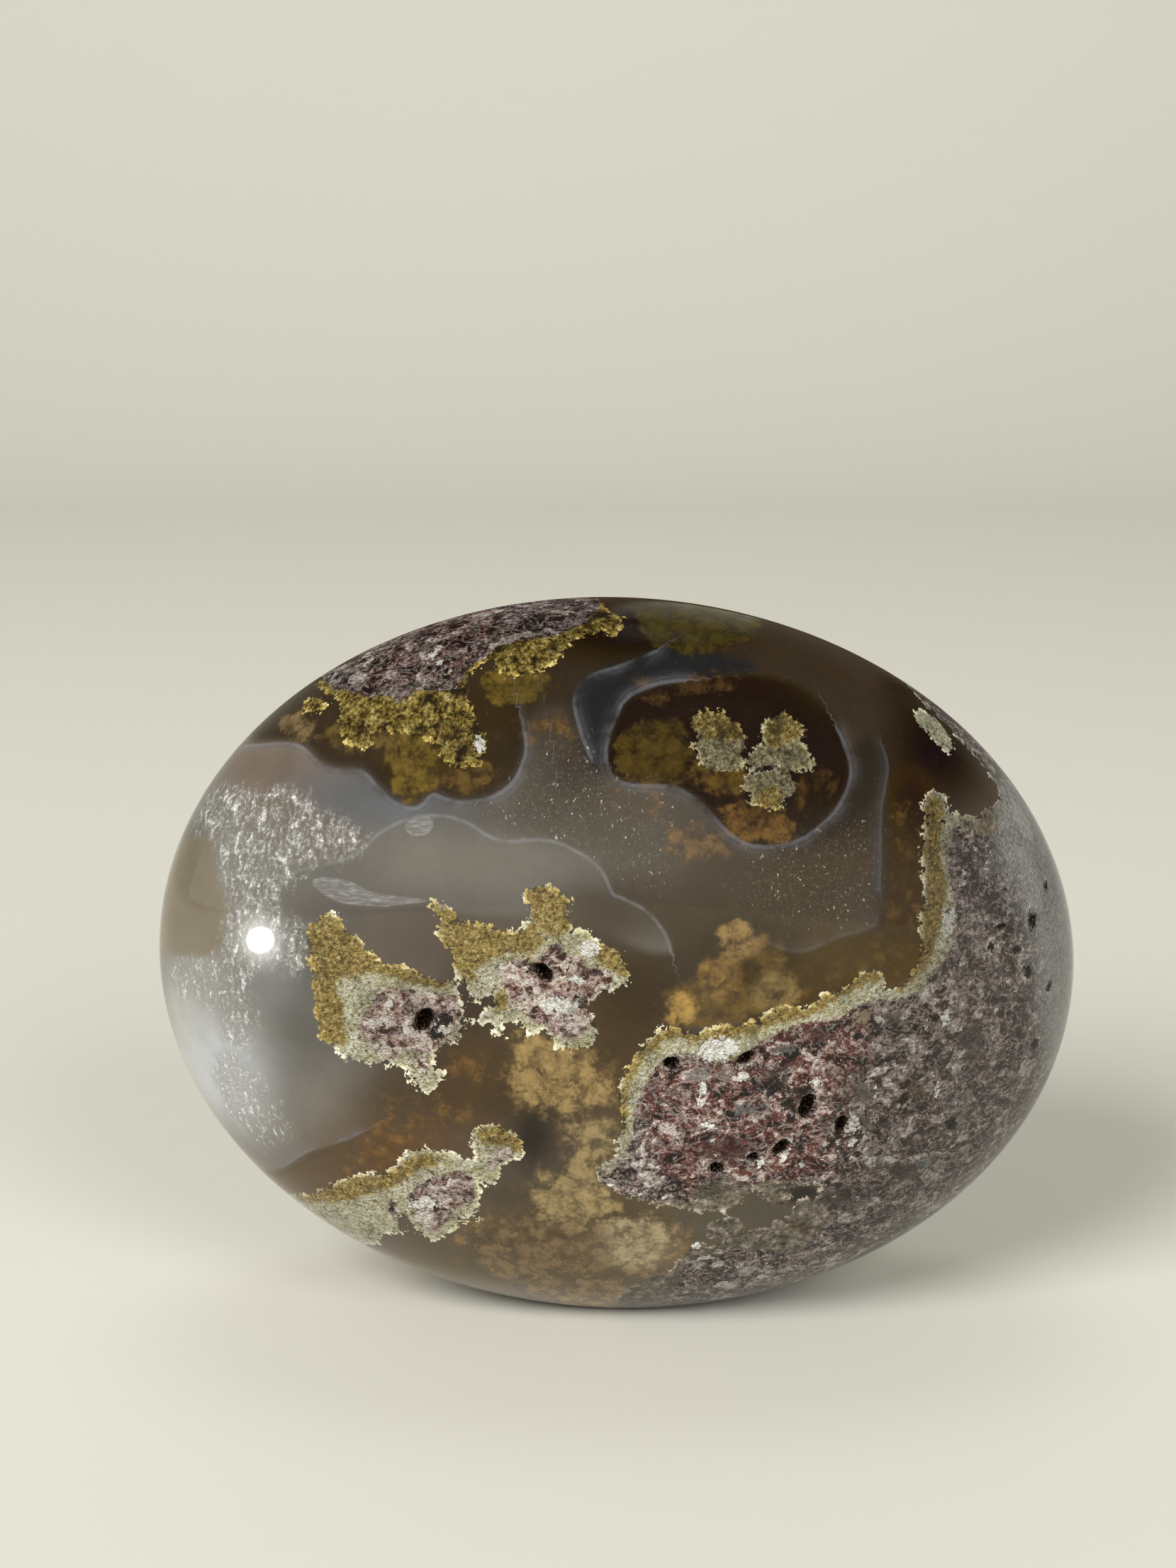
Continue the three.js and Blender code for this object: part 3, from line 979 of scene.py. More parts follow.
def plumeColours(places):
    # how strongly a plume shows at each place, and its colour
    shown = np.zeros(len(places))
    colour = bare(places, "plume")
    for layer in plumes.values():
        share = outlineShare(places, layer)
        shown = np.maximum(shown, share)
        cover(colour, layer, np.clip(share * 1.5, 0, 1))
    return shown, colour


# Where finer things lie on the front, again as outlines of photo pixels.
druseParts = {
    "upper": [
        (268, 1168), (296, 1116), (330, 1108), (372, 1122), (398, 1112), (432, 1118), (446, 1150),
        (482, 1154), (506, 1172), (520, 1190), (494, 1206), (452, 1212), (424, 1232), (396, 1262),
        (378, 1282), (340, 1290), (322, 1262), (310, 1224), (304, 1180),
    ],
    "middle": [
        (318, 1270), (378, 1276), (400, 1296), (428, 1300), (434, 1344), (420, 1374), (372, 1366),
        (350, 1384), (346, 1412), (372, 1432), (356, 1452), (344, 1484), (312, 1470), (308, 1420),
        (252, 1404), (236, 1372), (262, 1352), (300, 1356), (318, 1330),
    ],
    "lower": [
        (300, 1490), (330, 1480), (352, 1506), (378, 1536), (396, 1566), (410, 1592), (396, 1612),
        (374, 1622), (352, 1600), (320, 1566), (302, 1530),
    ],
}
speckParts = {
    "middle": [
        (700, 1120), (740, 1100), (800, 1030), (860, 1110), (940, 1130), (960, 1180), (930, 1260),
        (880, 1240), (840, 1200), (760, 1180), (700, 1170),
    ],
    "right": [(1120, 1190), (1230, 1150), (1236, 1280), (1180, 1300), (1080, 1290), (1040, 1230)],
}
flakeParts = {
    "wave": [
        (437, 1243), (452, 1236), (480, 1238), (502, 1246), (520, 1258), (548, 1263), (604, 1268),
        (600, 1274), (576, 1275), (541, 1280), (515, 1278), (490, 1276), (470, 1271), (450, 1258),
    ],
    "chip": [(568, 1164), (584, 1154), (608, 1150), (614, 1164), (606, 1177), (584, 1181), (572, 1174)],
}
# How deep under the polish the crumbs lie, as a smoky veil over them, and painted shade on crumbs that
# less light falls on: outline, soft edge and strength.
veilsAndShade = {
    "matrixRight": ([
        (1180, 1100), (1300, 900), (1600, 1000), (1700, 1400), (1500, 1700), (1260, 1900), (1190, 1700),
        (1170, 1560), (1230, 1420),
    ], 5.0, 0.38),
    "rightMustard": ([
        (1280, 1080), (1420, 1080), (1400, 1180), (1350, 1200), (1350, 1400), (1240, 1420),
    ], 1.2, 0.5),
    "stripRight": ([(740, 820), (880, 810), (900, 900), (810, 925), (740, 905)], 1.0, 0.3),
    "pair": ([(940, 980), (1170, 980), (1170, 1160), (940, 1160)], 1.0, 0.36),
    "strip": ([(400, 820), (900, 780), (900, 930), (700, 960), (680, 1090), (440, 1060)], 1.0, 0.14),
    "low": ([
        (380, 1660), (560, 1600), (680, 1560), (780, 1600), (740, 1720), (620, 1780), (440, 1780),
    ], 1.0, 0.14),
    "leftHeart": ([
        (500, 1400), (600, 1374), (690, 1370), (690, 1480), (610, 1500), (500, 1480),
    ], 0.8, 0.24),
    "middleFoot": ([(806, 1380), (880, 1390), (864, 1490), (780, 1490)], 0.8, 0.22),
    "footDark": ([(1150, 1665), (1230, 1655), (1240, 1718), (1170, 1728)], 0.8, 0.4),
    "bottom": ([(850, 1700), (1300, 1690), (1300, 1950), (840, 1950)], 1.5, 0.3),
}
# Painted reflection: where the polish mirrors light, the rock is painted paler.
paintedSheens = {
    "right": ([
        (1392, 1080), (1500, 1110), (1560, 1400), (1500, 1560), (1466, 1480), (1464, 1400), (1446, 1280),
        (1404, 1190),
    ], 3.4, 0.9),
}
# How much shows of what lies deeper: clear windows in the rock.
windows = {
    "fringe": ([
        (440, 1020), (560, 1010), (620, 1040), (700, 1060), (730, 1020), (700, 960), (800, 930), (810, 980),
        (740, 1010), (735, 1080), (700, 1118), (640, 1122), (600, 1112), (580, 1130), (530, 1100),
        (500, 1076), (460, 1070),
    ], 1.6, 0.35),
    "top": ([(860, 850), (1080, 850), (1060, 905), (1000, 915), (900, 915), (850, 900)], 1.6, 0.3),
    "pair": ([
        (862, 1060), (880, 1000), (930, 975), (1010, 965), (1120, 975), (1180, 1040), (1190, 1090),
        (1150, 1160), (1090, 1186), (1040, 1172), (1000, 1130), (940, 1100), (880, 1096),
    ], 2.2, 0.35),
    "golden": ([
        (1250, 1110), (1300, 1120), (1300, 1340), (1250, 1385), (1180, 1400), (1120, 1400), (1150, 1350),
        (1240, 1310),
    ], 2.0, 0.35),
    "lumps": ([
        (920, 1400), (980, 1350), (1010, 1300), (1090, 1300), (1140, 1350), (1120, 1430), (1060, 1450),
        (930, 1460),
    ], 2.2, 0.38),
    "deep": ([
        (700, 1460), (860, 1450), (890, 1500), (880, 1600), (860, 1660), (820, 1700), (740, 1720),
        (680, 1680), (720, 1600), (690, 1550),
    ], 2.6, 0.38),
    "foot": ([
        (700, 1700), (860, 1680), (960, 1720), (960, 1780), (900, 1840), (760, 1830), (640, 1780),
    ], 2.4, 0.3),
}
# The mauve rock is rosier in the islands' hearts, red-brown in the middle of the matrix, and pale and grey
# to the right; the moss is dusky along the matrix's lower edge.
hearts = {
    "islands": ([(420, 1260), (900, 1230), (920, 1500), (600, 1560), (430, 1500)], 1.0, 1.0),
    "low": ([(540, 1640), (740, 1580), (760, 1680), (640, 1760), (540, 1740)], 1.0, 0.6),
}
reds = {
    "middle": ([
        (900, 1480), (1080, 1420), (1200, 1400), (1240, 1480), (1180, 1560), (1200, 1640), (1100, 1690),
        (960, 1690), (900, 1600),
    ], 1.6, 1.0),
    "strip": ([(500, 980), (560, 900), (700, 850), (720, 900), (640, 960)], 1.0, 0.5),
}
pales = {
    "right": ([
        (1320, 1190), (1380, 1180), (1420, 1080), (1500, 1100), (1600, 1400), (1500, 1660), (1380, 1640),
        (1300, 1560), (1330, 1440), (1340, 1330),
    ], 3.0, 0.8),
    "foot": ([(1180, 1640), (1330, 1560), (1420, 1640), (1300, 1760), (1160, 1780)], 2.0, 0.5),
}
duskies = {
    "lowerEdge": ([
        (820, 1640), (880, 1660), (960, 1680), (1060, 1650), (1160, 1650), (1300, 1700), (1240, 1900),
        (820, 1920), (840, 1780), (820, 1700),
    ], 0.8, 0.85),
    "leftEdge": ([(820, 1600), (880, 1590), (900, 1680), (820, 1700)], 1.0, 0.5),
    "rightEdge": ([(1320, 1150), (1480, 1050), (1500, 1220), (1380, 1230)], 1.0, 0.6),
}
# Where the moss is coral with dark gaps.
gappyParts = {
    "fringe": ([
        (400, 930), (470, 945), (560, 955), (640, 950), (660, 925), (700, 885), (790, 870), (840, 850),
        (900, 850), (880, 920), (790, 960), (700, 990), (700, 1080), (650, 1100), (600, 1050), (500, 1070),
        (420, 1020),
    ], 0.5, 1.0),
    "pair": ([(950, 985), (1160, 985), (1165, 1150), (1040, 1160), (960, 1100)], 0.5, 0.68),
}
# Patches of another colour in the mauve rock: pixel, reach across and up, turn, colour.
patches = {
    "beigeNodule": ((1214, 1438), (21, 13), 5, (186, 162, 138)),
    "greyUnderHole": ((1104, 1481), (22, 9), 8, (132, 130, 124)),
    "greyStreak": ((1056, 1565), (36, 11), 5, (136, 134, 130)),
    "glassyLeft": ((988, 1513), (28, 13), 20, (164, 158, 152)),
    "redLow": ((1018, 1622), (52, 26), 5, (84, 46, 39)),
    "paleUnderWhite": ((1024, 1514), (20, 13), 0, (176, 156, 148)),
    "cavity": ((1094, 1522), (24, 24), 0, (66, 43, 37)),
    "darkFoot": ((1178, 1690), (30, 15), -10, (84, 74, 66)),
    "oliveLow": ((1012, 1678), (40, 17), 10, (104, 100, 84)),
    "greyRight": ((1218, 1541), (24, 20), -30, (130, 120, 108)),
    "oliveRight": ((1290, 1542), (24, 22), 0, (96, 84, 60)),
    "greyMiddle": ((1163, 1580), (13, 18), 0, (116, 108, 102)),
    "darkGlass": ((1270, 1652), (26, 15), -25, (68, 62, 56)),
    "lowGrey": ((1206, 1700), (22, 14), 0, (122, 114, 106)),
    "blueGrey": ((1304, 1640), (16, 12), 20, (130, 134, 134)),
    "brownLow": ((1134, 1731), (26, 7), 5, (150, 108, 70)),
    "rustyDark": ((1156, 1460), (26, 12), -15, (92, 66, 64)),
    "greyTop": ((1262, 1440), (16, 14), 0, (108, 108, 104)),
    "rightPale": ((1400, 1224), (26, 16), 0, (138, 134, 128)),
    "rightGlass": ((1372, 1470), (22, 30), 10, (92, 88, 82)),
    "stripGrey": ((598, 915), (18, 12), 20, (150, 140, 134)),
}
# White crystals, and hollows in the crumbs painted dark with shade, by where they are: pixel, reach across
# and up, turn.
whites = {
    "islands": [
        ((549, 1417), (6, 9), 0), ((817, 1384), (15, 6), -10), ((794, 1420), (26, 13), -10),
        ((830, 1338), (14, 10), 0), ((598, 1697), (22, 12), 10),
    ],
    "stripAndPair": [
        ((610, 924), (8, 6), 30), ((676, 1050), (8, 14), 20), ((620, 935), (6, 5), 0),
    ],
    "matrixLeft": [
        ((1015, 1480), (32, 17), 10), ((1046, 1519), (12, 8), 0), ((1150, 1528), (9, 7), 0),
        ((991, 1538), (6, 12), 0), ((988, 1556), (8, 5), 0), ((998, 1589), (10, 7), 0),
        ((1073, 1640), (6, 9), 0), ((1108, 1630), (5, 16), -30), ((1113, 1608), (6, 6), 0),
        ((1120, 1538), (5, 9), 0), ((980, 1757), (10, 8), 0),
    ],
    "matrixRight": [
        ((1206, 1588), (9, 15), 30), ((1202, 1612), (6, 12), 0), ((1338, 1300), (11, 20), -12),
        ((1442, 1156), (20, 36), 25), ((1236, 1540), (4, 12), 0), ((1322, 1536), (5, 14), 0),
        ((1334, 1436), (7, 12), 0),
    ],
}
hollows = {
    "matrixLeft": [
        ((948, 1500), (12, 9), 10), ((1052, 1494), (8, 13), -40), ((1092, 1536), (7, 16), -35),
        ((1110, 1556), (8, 15), -15), ((1136, 1540), (14, 9), 0), ((1101, 1620), (8, 15), -30),
        ((1063, 1634), (7, 8), 0), ((1011, 1650), (11, 7), 0), ((959, 1653), (5, 4), 0),
        ((1164, 1472), (5, 4), 0), ((1130, 1679), (22, 8), 5), ((1104, 1702), (12, 8), 0),
    ],
    "matrixRight": [
        ((1187, 1587), (10, 16), -20), ((1209, 1628), (7, 6), 0), ((1210, 1723), (7, 5), 0),
        ((1196, 1730), (6, 6), 0), ((1274, 1551), (8, 10), 0), ((1318, 1435), (9, 8), 0),
        ((1292, 1449), (5, 5), 0), ((1456, 1298), (10, 17), 10), ((1413, 1307), (10, 5), 0),
        ((1398, 1335), (6, 9), 0), ((1434, 1340), (9, 7), 0), ((1460, 1472), (9, 9), 0),
        ((1330, 1159), (5, 5), 0), ((1418, 1255), (5, 4), 0), ((1475, 1250), (6, 10), 10),
        ((1210, 1462), (8, 7), 30), ((1450, 1370), (8, 14), 20), ((1480, 1390), (7, 10), 0),
        ((1342, 1585), (10, 14), 30),
    ],
    "islands": [
        ((657, 1692), (5, 3), 0), ((604, 1442), (20, 16), 20), ((616, 1460), (10, 8), 0),
        ((630, 1438), (11, 12), 0), ((766, 1371), (13, 10), -30), ((746, 1371), (5, 4), 0),
        ((798, 1370), (7, 4), 0), ((813, 1408), (6, 5), 0), ((552, 1704), (5, 8), 0),
    ],
    "stripAndPair": [
        ((629, 946), (6, 5), 0), ((1080, 1084), (17, 4), 15),
    ],
}
# The agate's bands: open lines of photo pixels, the dark side on their left, that thin stripes follow,
# and how strongly each shows.
bandLines = {
    "scallops": ([(345, 1051), (368, 1049), *scallopLine, (734, 1012)], 1.0),
    "halo": ([
        (966, 962), (936, 966), (906, 974), (886, 985), (870, 1010), (856, 1050), (858, 1090), *haloLine,
        (1180, 1030),
    ], 0.8),
    "outer": ([
        (1246, 1050), (1256, 1080), (1252, 1110), (1243, 1140), (1243, 1300), (1226, 1313), (1180, 1323),
        (1142, 1344), (1110, 1344), (1080, 1330),
    ], 0.32),
    "crown": ([
        (832, 1070), (818, 1040), (806, 996), (814, 966), (836, 949), (872, 939), (906, 927), (925, 916),
    ], 0.7),
    "veeLeft": (veeLine, 0.9),
}
# The pale line round the cloud, with no dark side.
edgeLines = {
    "cloud": (cloudLine, 1.0),
}


def rowsOf(groups):
    # the rows of all groups, one after another
    return [row for group in groups.values() for row in group]


def spotField(places, spots):
    # 1 in the middle of each oval spot, 0 on its edge, and negative outside
    field = np.full(len(places), farOut["spot"])
    for (pixel, reach, turn), middle in zip(spots, photoToMap([row[0] for row in spots])):
        turned = math.radians(turn)
        off = (places - middle) * photoScale
        along = (off[:, 0] * math.cos(turned) + off[:, 1] * math.sin(turned)) / reach[0]
        up = (off[:, 1] * math.cos(turned) - off[:, 0] * math.sin(turned)) / reach[1]
        field = np.maximum(field, 1 - np.hypot(along, up))
    return field


def patchColours(places):
    # how deep each place lies in a patch, and the colour of the patch nearest to it
    deepest = np.full(len(places), farOut["patch"])
    colour = bare(places, "patch")
    for pixel, reach, turn, shade in patches.values():
        deep = spotField(places, [(pixel, reach, turn)])
        colour = np.where((deep > deepest)[:, None], np.array(linear(*shade)), colour)
        deepest = np.maximum(deepest, deep)
    return deepest, colour


def softField(places, parts):
    # each outline's strength, fading from half its soft edge inside to half outside; the strongest counts
    field = np.zeros(len(places))
    for outline, soft, strength in parts.values():
        deep = depthInside(places, rounded(photoToMap(outline)))
        share = np.clip(0.5 + deep / soft, 0, 1)
        field = np.maximum(field, strength * share * share * (3 - 2 * share))
    return field


def bandField(places, lines):
    # the way to the nearest of the lines, positive on its left as it is drawn and negative on its right
    nearest = np.full(len(places), edgeReach)
    signed = np.full(len(places), edgeReach)
    strength = np.zeros(len(places))
    for line, shown in lines.values():
        drawn = photoToMap(line)
        for _ in range(2):
            cut = np.stack([0.75 * drawn[:-1] + 0.25 * drawn[1:], 0.25 * drawn[:-1] + 0.75 * drawn[1:]], 1)
            drawn = np.concatenate([drawn[:1], cut.reshape(-1, 2), drawn[-1:]])
        for first, second in zip(drawn[:-1], drawn[1:]):
            side = second - first
            off = places - first
            share = np.clip(off @ side / (side @ side), 0, 1)
            far = np.hypot(*(off - share[:, None] * side).T)
            closer = far < nearest
            turned = side[0] * off[:, 1] - side[1] * off[:, 0]
            signed = np.where(closer, far * np.where(turned > 0, 1, -1), signed)
            strength = np.where(closer, shown, strength)
            nearest = np.where(closer, far, nearest)
    return signed, strength


sharpFields = {
    "crumbly": crumbly, "ochre": ochreParts, "mauve": mauveParts, "druse": druseParts,
    "speck": speckParts, "flake": flakeParts,
}
softFields = {
    "veilAndShade": veilsAndShade, "paintedSheen": paintedSheens, "window": windows, "heart": hearts, "red": reds, "pale": pales,
    "gappy": gappyParts, "dusky": duskies,
}
skinLook = {
    "litFor": 1.4,           # the crumbs' colours hold in this light, and are lifted or dimmed towards it
    "lift": (0.84, 1.1),
    "rimFrom": 0.66,         # the coat fades from this share of the way out to the rim, over the next one
    "rimOver": 0.2,
    "rimHeight": (2.5, 0.9), # how fast that comes in with height, and how low it starts
    "glow": 1.3,             # reach of the painted glow round the highlight
}


def buildSkin():
    # the stone's skin, with what shows at each of its points as fields and tints; the rim's field is strong
    # near the outline at the top, and the painted glow of the highlight falls off from it as e^-(distance^2)
    reach, angle, faces = skinGrid(stone["steps"])
    points = drawnToPits(skinPoints(reach, angle))
    places = skinPlace(points)
    light = lightOn(points)
    fields = {name: fieldOf(places, parts) for name, parts in sharpFields.items()}
    for name, parts in softFields.items():
        fields[name] = softField(places, parts)
    for name, groups in {"white": whites, "hollow": hollows}.items():
        fields[name] = spotField(places, rowsOf(groups))
    fields["window"] = fields["window"] * (points[:, 1] < 0)
    fields["lift"] = np.clip(skinLook["litFor"] / light, *skinLook["lift"])
    fields["band"], fields["bandShare"] = bandField(places, bandLines)
    fields["edgeLine"] = bandField(places, edgeLines)[0]
    outward = np.hypot(*(places / (halfLong, halfHigh)).T) / rimReach
    fields["rim"] = np.clip((outward - skinLook["rimFrom"]) / skinLook["rimOver"], 0, 1)
    rise, low = skinLook["rimHeight"]
    fields["rim"] = fields["rim"] * np.clip(places[:, 1] / halfHigh / rimReach * rise - low, 0, 1)
    fromHighlight = np.hypot(*(places - photoToMap([photo["highlight"]])).T)
    # painted glow round the highlight
    fields["glow"] = np.exp(-(fromHighlight / skinLook["glow"]) ** 2) * (points[:, 1] < 0)
    fields["plume"], plumeColour = plumeColours(places)
    fields["patch"], patchColour = patchColours(places)
    tints = {
        "ground": asSeen(groundColours(places), light),
        "deep": asSeen(plumeColour, light),
        "patchShade": asSeen(patchColour, light),
    }
    points, fields["pit"] = pushPits(points)
    points[:, 2] = np.maximum(points[:, 2], 0.0)
    print("skin worked out:", len(points), "points")
    return meshPiece("agate_stone", points, faces, fields, tints)


# The rock's colours as they show. A ramp's stop is a place from 0 to 1 and the colour there.
ramps = {
    "ochre": [
        (0.02, (76, 58, 24)), (0.22, (124, 101, 48)), (0.46, (150, 128, 66)), (0.68, (172, 151, 91)),
        (0.96, (208, 192, 140)),
    ],
    "cream": [
        (0.0, (126, 116, 82)), (0.2, (182, 172, 134)), (0.42, (214, 208, 174)), (0.8, (246, 243, 224)),
    ],
    "coralOchre": [
        (0.1, (42, 32, 12)), (0.34, (104, 84, 34)), (0.56, (152, 132, 64)), (0.76, (188, 168, 98)),
        (0.96, (220, 204, 150)),
    ],
    "coralCream": [
        (0.1, (44, 34, 16)), (0.34, (108, 94, 48)), (0.56, (164, 148, 92)), (0.76, (206, 194, 142)),
        (0.96, (236, 230, 196)),
    ],
    "heads": [
        (0.1, (46, 38, 32)), (0.35, (91, 80, 70)), (0.6, (131, 118, 105)), (0.8, (167, 155, 140)),
        (0.96, (208, 198, 184)),
    ],
    "mauve": [
        (0.06, (30, 19, 18)), (0.25, (74, 52, 50)), (0.44, (108, 90, 86)), (0.6, (144, 129, 122)),
        (0.8, (192, 179, 169)), (0.97, (240, 234, 226)),
    ],
    "rose": [
        (0.04, (64, 33, 29)), (0.2, (126, 86, 79)), (0.38, (178, 145, 133)), (0.58, (216, 196, 178)),
        (0.8, (249, 241, 229)),
    ],
    "red": [
        (0.06, (26, 12, 10)), (0.3, (84, 41, 34)), (0.56, (113, 64, 55)), (0.74, (154, 122, 112)),
        (0.96, (228, 214, 206)),
    ],
    "druse": [
        (0.2, (88, 82, 73)), (0.5, (124, 120, 112)), (0.66, (154, 152, 146)), (0.8, (202, 201, 196)),
        (0.94, (246, 246, 242)),
    ],
}
tones = {name: linear(*shade) for name, shade in {
    "warmCrumb": (196, 166, 122),
    "deepOchre": (104, 80, 24),
    "greenCream": (178, 170, 114),
    "mossGap": (46, 36, 18),
    "looseCrumb": (214, 204, 162),
    "paleMauve": (106, 98, 94),
    "curl": (196, 180, 170),
    "glassDark": (76, 76, 70),
    "glassPale": (150, 148, 140),
    "rockGap": (24, 17, 15),
    "grit": (226, 219, 208),
    "chalkShade": (200, 194, 178),
    "chalk": (255, 253, 245),
    # the veil's smoke, which also paints shade
    "smoke": (54, 45, 32),
    # painted reflection
    "paintedSheen": (166, 166, 160),
    "hollowRim": (214, 202, 186),
    # painted shade in the hollows
    "hollowShade": (14, 10, 9),
    "hollowCrumb": (92, 74, 60),
    "bandHaze": (108, 111, 118),
    "bandLine": (128, 131, 138),
    "cloudLine": (142, 144, 148),
    "flakeDark": (128, 124, 122),
    "flakePale": (176, 174, 172),
    "fleck": (196, 187, 170),
    "speckDust": (150, 141, 126),
    # painted glow round the highlight
    "glow": (236, 236, 232),
    "pitLip": (216, 202, 186),
    # painted shade in the pits
    "pitShade": (18, 12, 9),
    "pitCrumb": (112, 92, 74),
    "clearRock": (246, 240, 230),
    "smokeInside": (186, 158, 120),
    "none": (0, 0, 0),
}.items()}
polish = {"Coat Roughness": 0.03, "Coat IOR": 1.4}
# The noises that all parts of the rock share: patches to a millimetre, octaves, how strong the finer ones
# are, and the way a noise is moved apart from the others.
noises = {
    "broad": (0.45, 2.0, 0.5, None),
    "middling": (1.5, 3.0, 0.6, None),
    "crumb": (4.2, 2.5, 0.66, None),
    "other": (1.3, 3.0, 0.68, (31.0, 5.0, 7.0)),
    "dust": (9.0, 1.0, 0.7, (3.0, 15.0, 9.0)),
}


def rockGrain(board):
    # the shared noises, and cells of two sizes round points pushed about a little;
    # heap is how high a crumb stands
    grain = SimpleNamespace(spot=board.place())
    grain.pushed = board.warped(grain.spot, 2.0, 0.4)
    for name, (scale, detail, roughness, apart) in noises.items():
        spot = board.shift(grain.spot, apart) if apart else grain.spot
        setattr(grain, name, board.noise(spot, scale, detail, roughness))
    grain.lobes = board.cells(grain.pushed, 0.95)
    grain.grains = board.cells(grain.pushed, 3.6)
    grain.heap = 0.5 + grain.crumb + (0.42 - grain.grains) * 0.6 + grain.dust * 0.4 + grain.middling * 0.3
    grain.puffSpot = board.warped(grain.spot, 0.8, 0.9)
    return grain


def mossColour(board, grain, edge):
    # ochre and cream moss: fine crumbs heaped on each other, with painted shade between them and painted
    # light on their tops
    crumb, middling, lobes, heap = grain.crumb, grain.middling, grain.lobes, grain.heap
    gappy = board.field("gappy")
    ochreMask = (board.field("ochre") + middling * 0.5 + crumb * 0.7).fade(-0.12, 0.12)
    ochreMask = ochreMask.most(gappy.fade(0.7, 0.95))
    # the ramps run from painted shade low on a heap to painted light on its top
    ochre = board.ramp(heap, ramps["ochre"])
    warm = grain.other.fade(0.2, 0.5) * heap.fade(0.5, 0.9)
    ochre = board.blend(ochre, tones["warmCrumb"], warm * 0.55)
    ochre = board.blend(ochre, tones["deepOchre"], grain.broad.fade(0.05, 0.45) * 0.4)
    cream = board.ramp(heap, ramps["cream"])
    cream = board.blend(cream, tones["greenCream"], (middling + grain.broad).fade(0.05, 0.55) * 0.55)
    # hanging moss is coral with wide dark gaps
    coral = heap * 0.75 + grain.other * 0.75 + 0.14
    cream = board.blend(cream, board.ramp(coral, ramps["coralCream"]), gappy)
    ochre = board.blend(ochre, board.ramp(coral, ramps["coralOchre"]), gappy)
    # painted shade between the lobes
    between = (lobes + crumb * 0.2).fade(0.45, 0.85)
    ochre = board.scaled(ochre, 1.2 - between * 0.4)
    cream = board.scaled(cream, 0.94 - between * 0.3 + middling * 0.16)
    moss = board.blend(cream, ochre, ochreMask)
    moss = board.blend(moss, tones["mossGap"], gappy * (lobes + crumb * 0.4).fade(0.66, 0.86))
    fresh = edge.fade(0.25, 0.05) * heap.fade(0.4, 0.8) * (0.15 - gappy * 0.08)
    moss = board.blend(moss, tones["looseCrumb"], fresh)
    # under the matrix it is heads of grey cream, with painted shade between them
    heads = 0.98 - board.cells(grain.pushed, 1.6) + crumb * 0.5 + grain.dust * 0.2
    return board.blend(moss, board.ramp(heads, ramps["heads"]), board.field("dusky"))


def mauveColour(board, grain):
    # granular mauve rock: lumps and grains of their own shade and flowing noises, along one ramp
    spot, crumb, dust, middling = grain.spot, grain.crumb, grain.dust, grain.middling
    flow = board.warped(board.turned(spot, (0.0, -0.25, 0.0), (0.82, 1.0, 1.14)), 0.6, 1.7)
    swirl = board.noise(flow, 0.7, 3.0, 0.62, 0.6)
    chunk = board.noise(board.shift(flow, (13.0, 8.0, 1.0)), 1.7, 3.0, 0.66, 0.5)
    lumpSpot = board.shift(board.scaled(flow, 0.5), board.scaled(grain.pushed, 0.5))
    lumpShade = board.red(board.cells(lumpSpot, 1.4, "Color"))
    grainShade = board.red(grain.grains.beside("Color"))
    level = (lumpShade - 0.5) * 0.55 + (grainShade - 0.5) * 0.32 + swirl * 0.6 + chunk * 0.5
    rise = (level + crumb * 0.38 + dust * 0.18) * 1.36 + 0.37
    mauve = board.ramp(rise, ramps["mauve"])
    mauve = board.blend(mauve, board.ramp(rise, ramps["rose"]), board.field("heart"))
    redder = board.noise(board.shift(spot, (21.0, 13.0, 7.0)), 0.8, 3.0, 0.6, 0.8)
    redMask = board.field("red") * redder.fade(-0.4, -0.05)
    mauve = board.blend(mauve, board.ramp(rise, ramps["red"]), redMask)
    pale = board.field("pale")
    mauve = board.blend(mauve, tones["paleMauve"], pale * 0.42)
    # pale curls wind through it where a noise is near nothing
    curls = abs(board.noise(board.shift(flow, (2.0, 19.0, 4.0)), 1.5, 2.0, 0.55, 0.9))
    rims = (curls + dust * 0.03).fade(0.14, 0.02) * (middling + crumb).fade(-0.4, 0.2)
    mauve = board.blend(mauve, tones["curl"], rims * 0.65)
    # glassy grey patches, dark gaps, the patches placed one by one, and rare white grit
    greyer = board.noise(board.shift(spot, (11.0, 3.0, 17.0)), 0.75, 3.0, 0.6, 0.7)
    glassy = board.blend(tones["glassDark"], tones["glassPale"], (crumb + chunk).fade(-0.4, 0.5))
    mauve = board.blend(mauve, glassy, greyer.fade(0.14, 0.26) * (0.35 + pale * 0.4))
    gaps = chunk * 0.7 - greyer * 0.5 + dust * 0.25 + crumb * 0.3
    mauve = board.blend(mauve, tones["rockGap"], gaps.fade(-0.36, -0.5) * 0.9)
    patched = (board.field("patch") * 1.1 + crumb * 1.2 + middling * 1.2).fade(0.1, 0.6)
    patchShade = board.scaled(board.tint("patchShade"), 0.95 + crumb * 0.8 + dust * 0.3)
    mauve = board.blend(mauve, patchShade, patched * 0.8)
    grit = board.cells(board.shift(spot, (17.0, 6.0, 2.0)), 1.3)
    rare = board.red(grit.beside("Color")).fade(0.7, 0.76)
    gritMask = (grit + crumb * 0.7 + dust * 0.3).fade(0.2, 0.1) * rare
    return board.blend(mauve, tones["grit"], gritMask * 0.85)


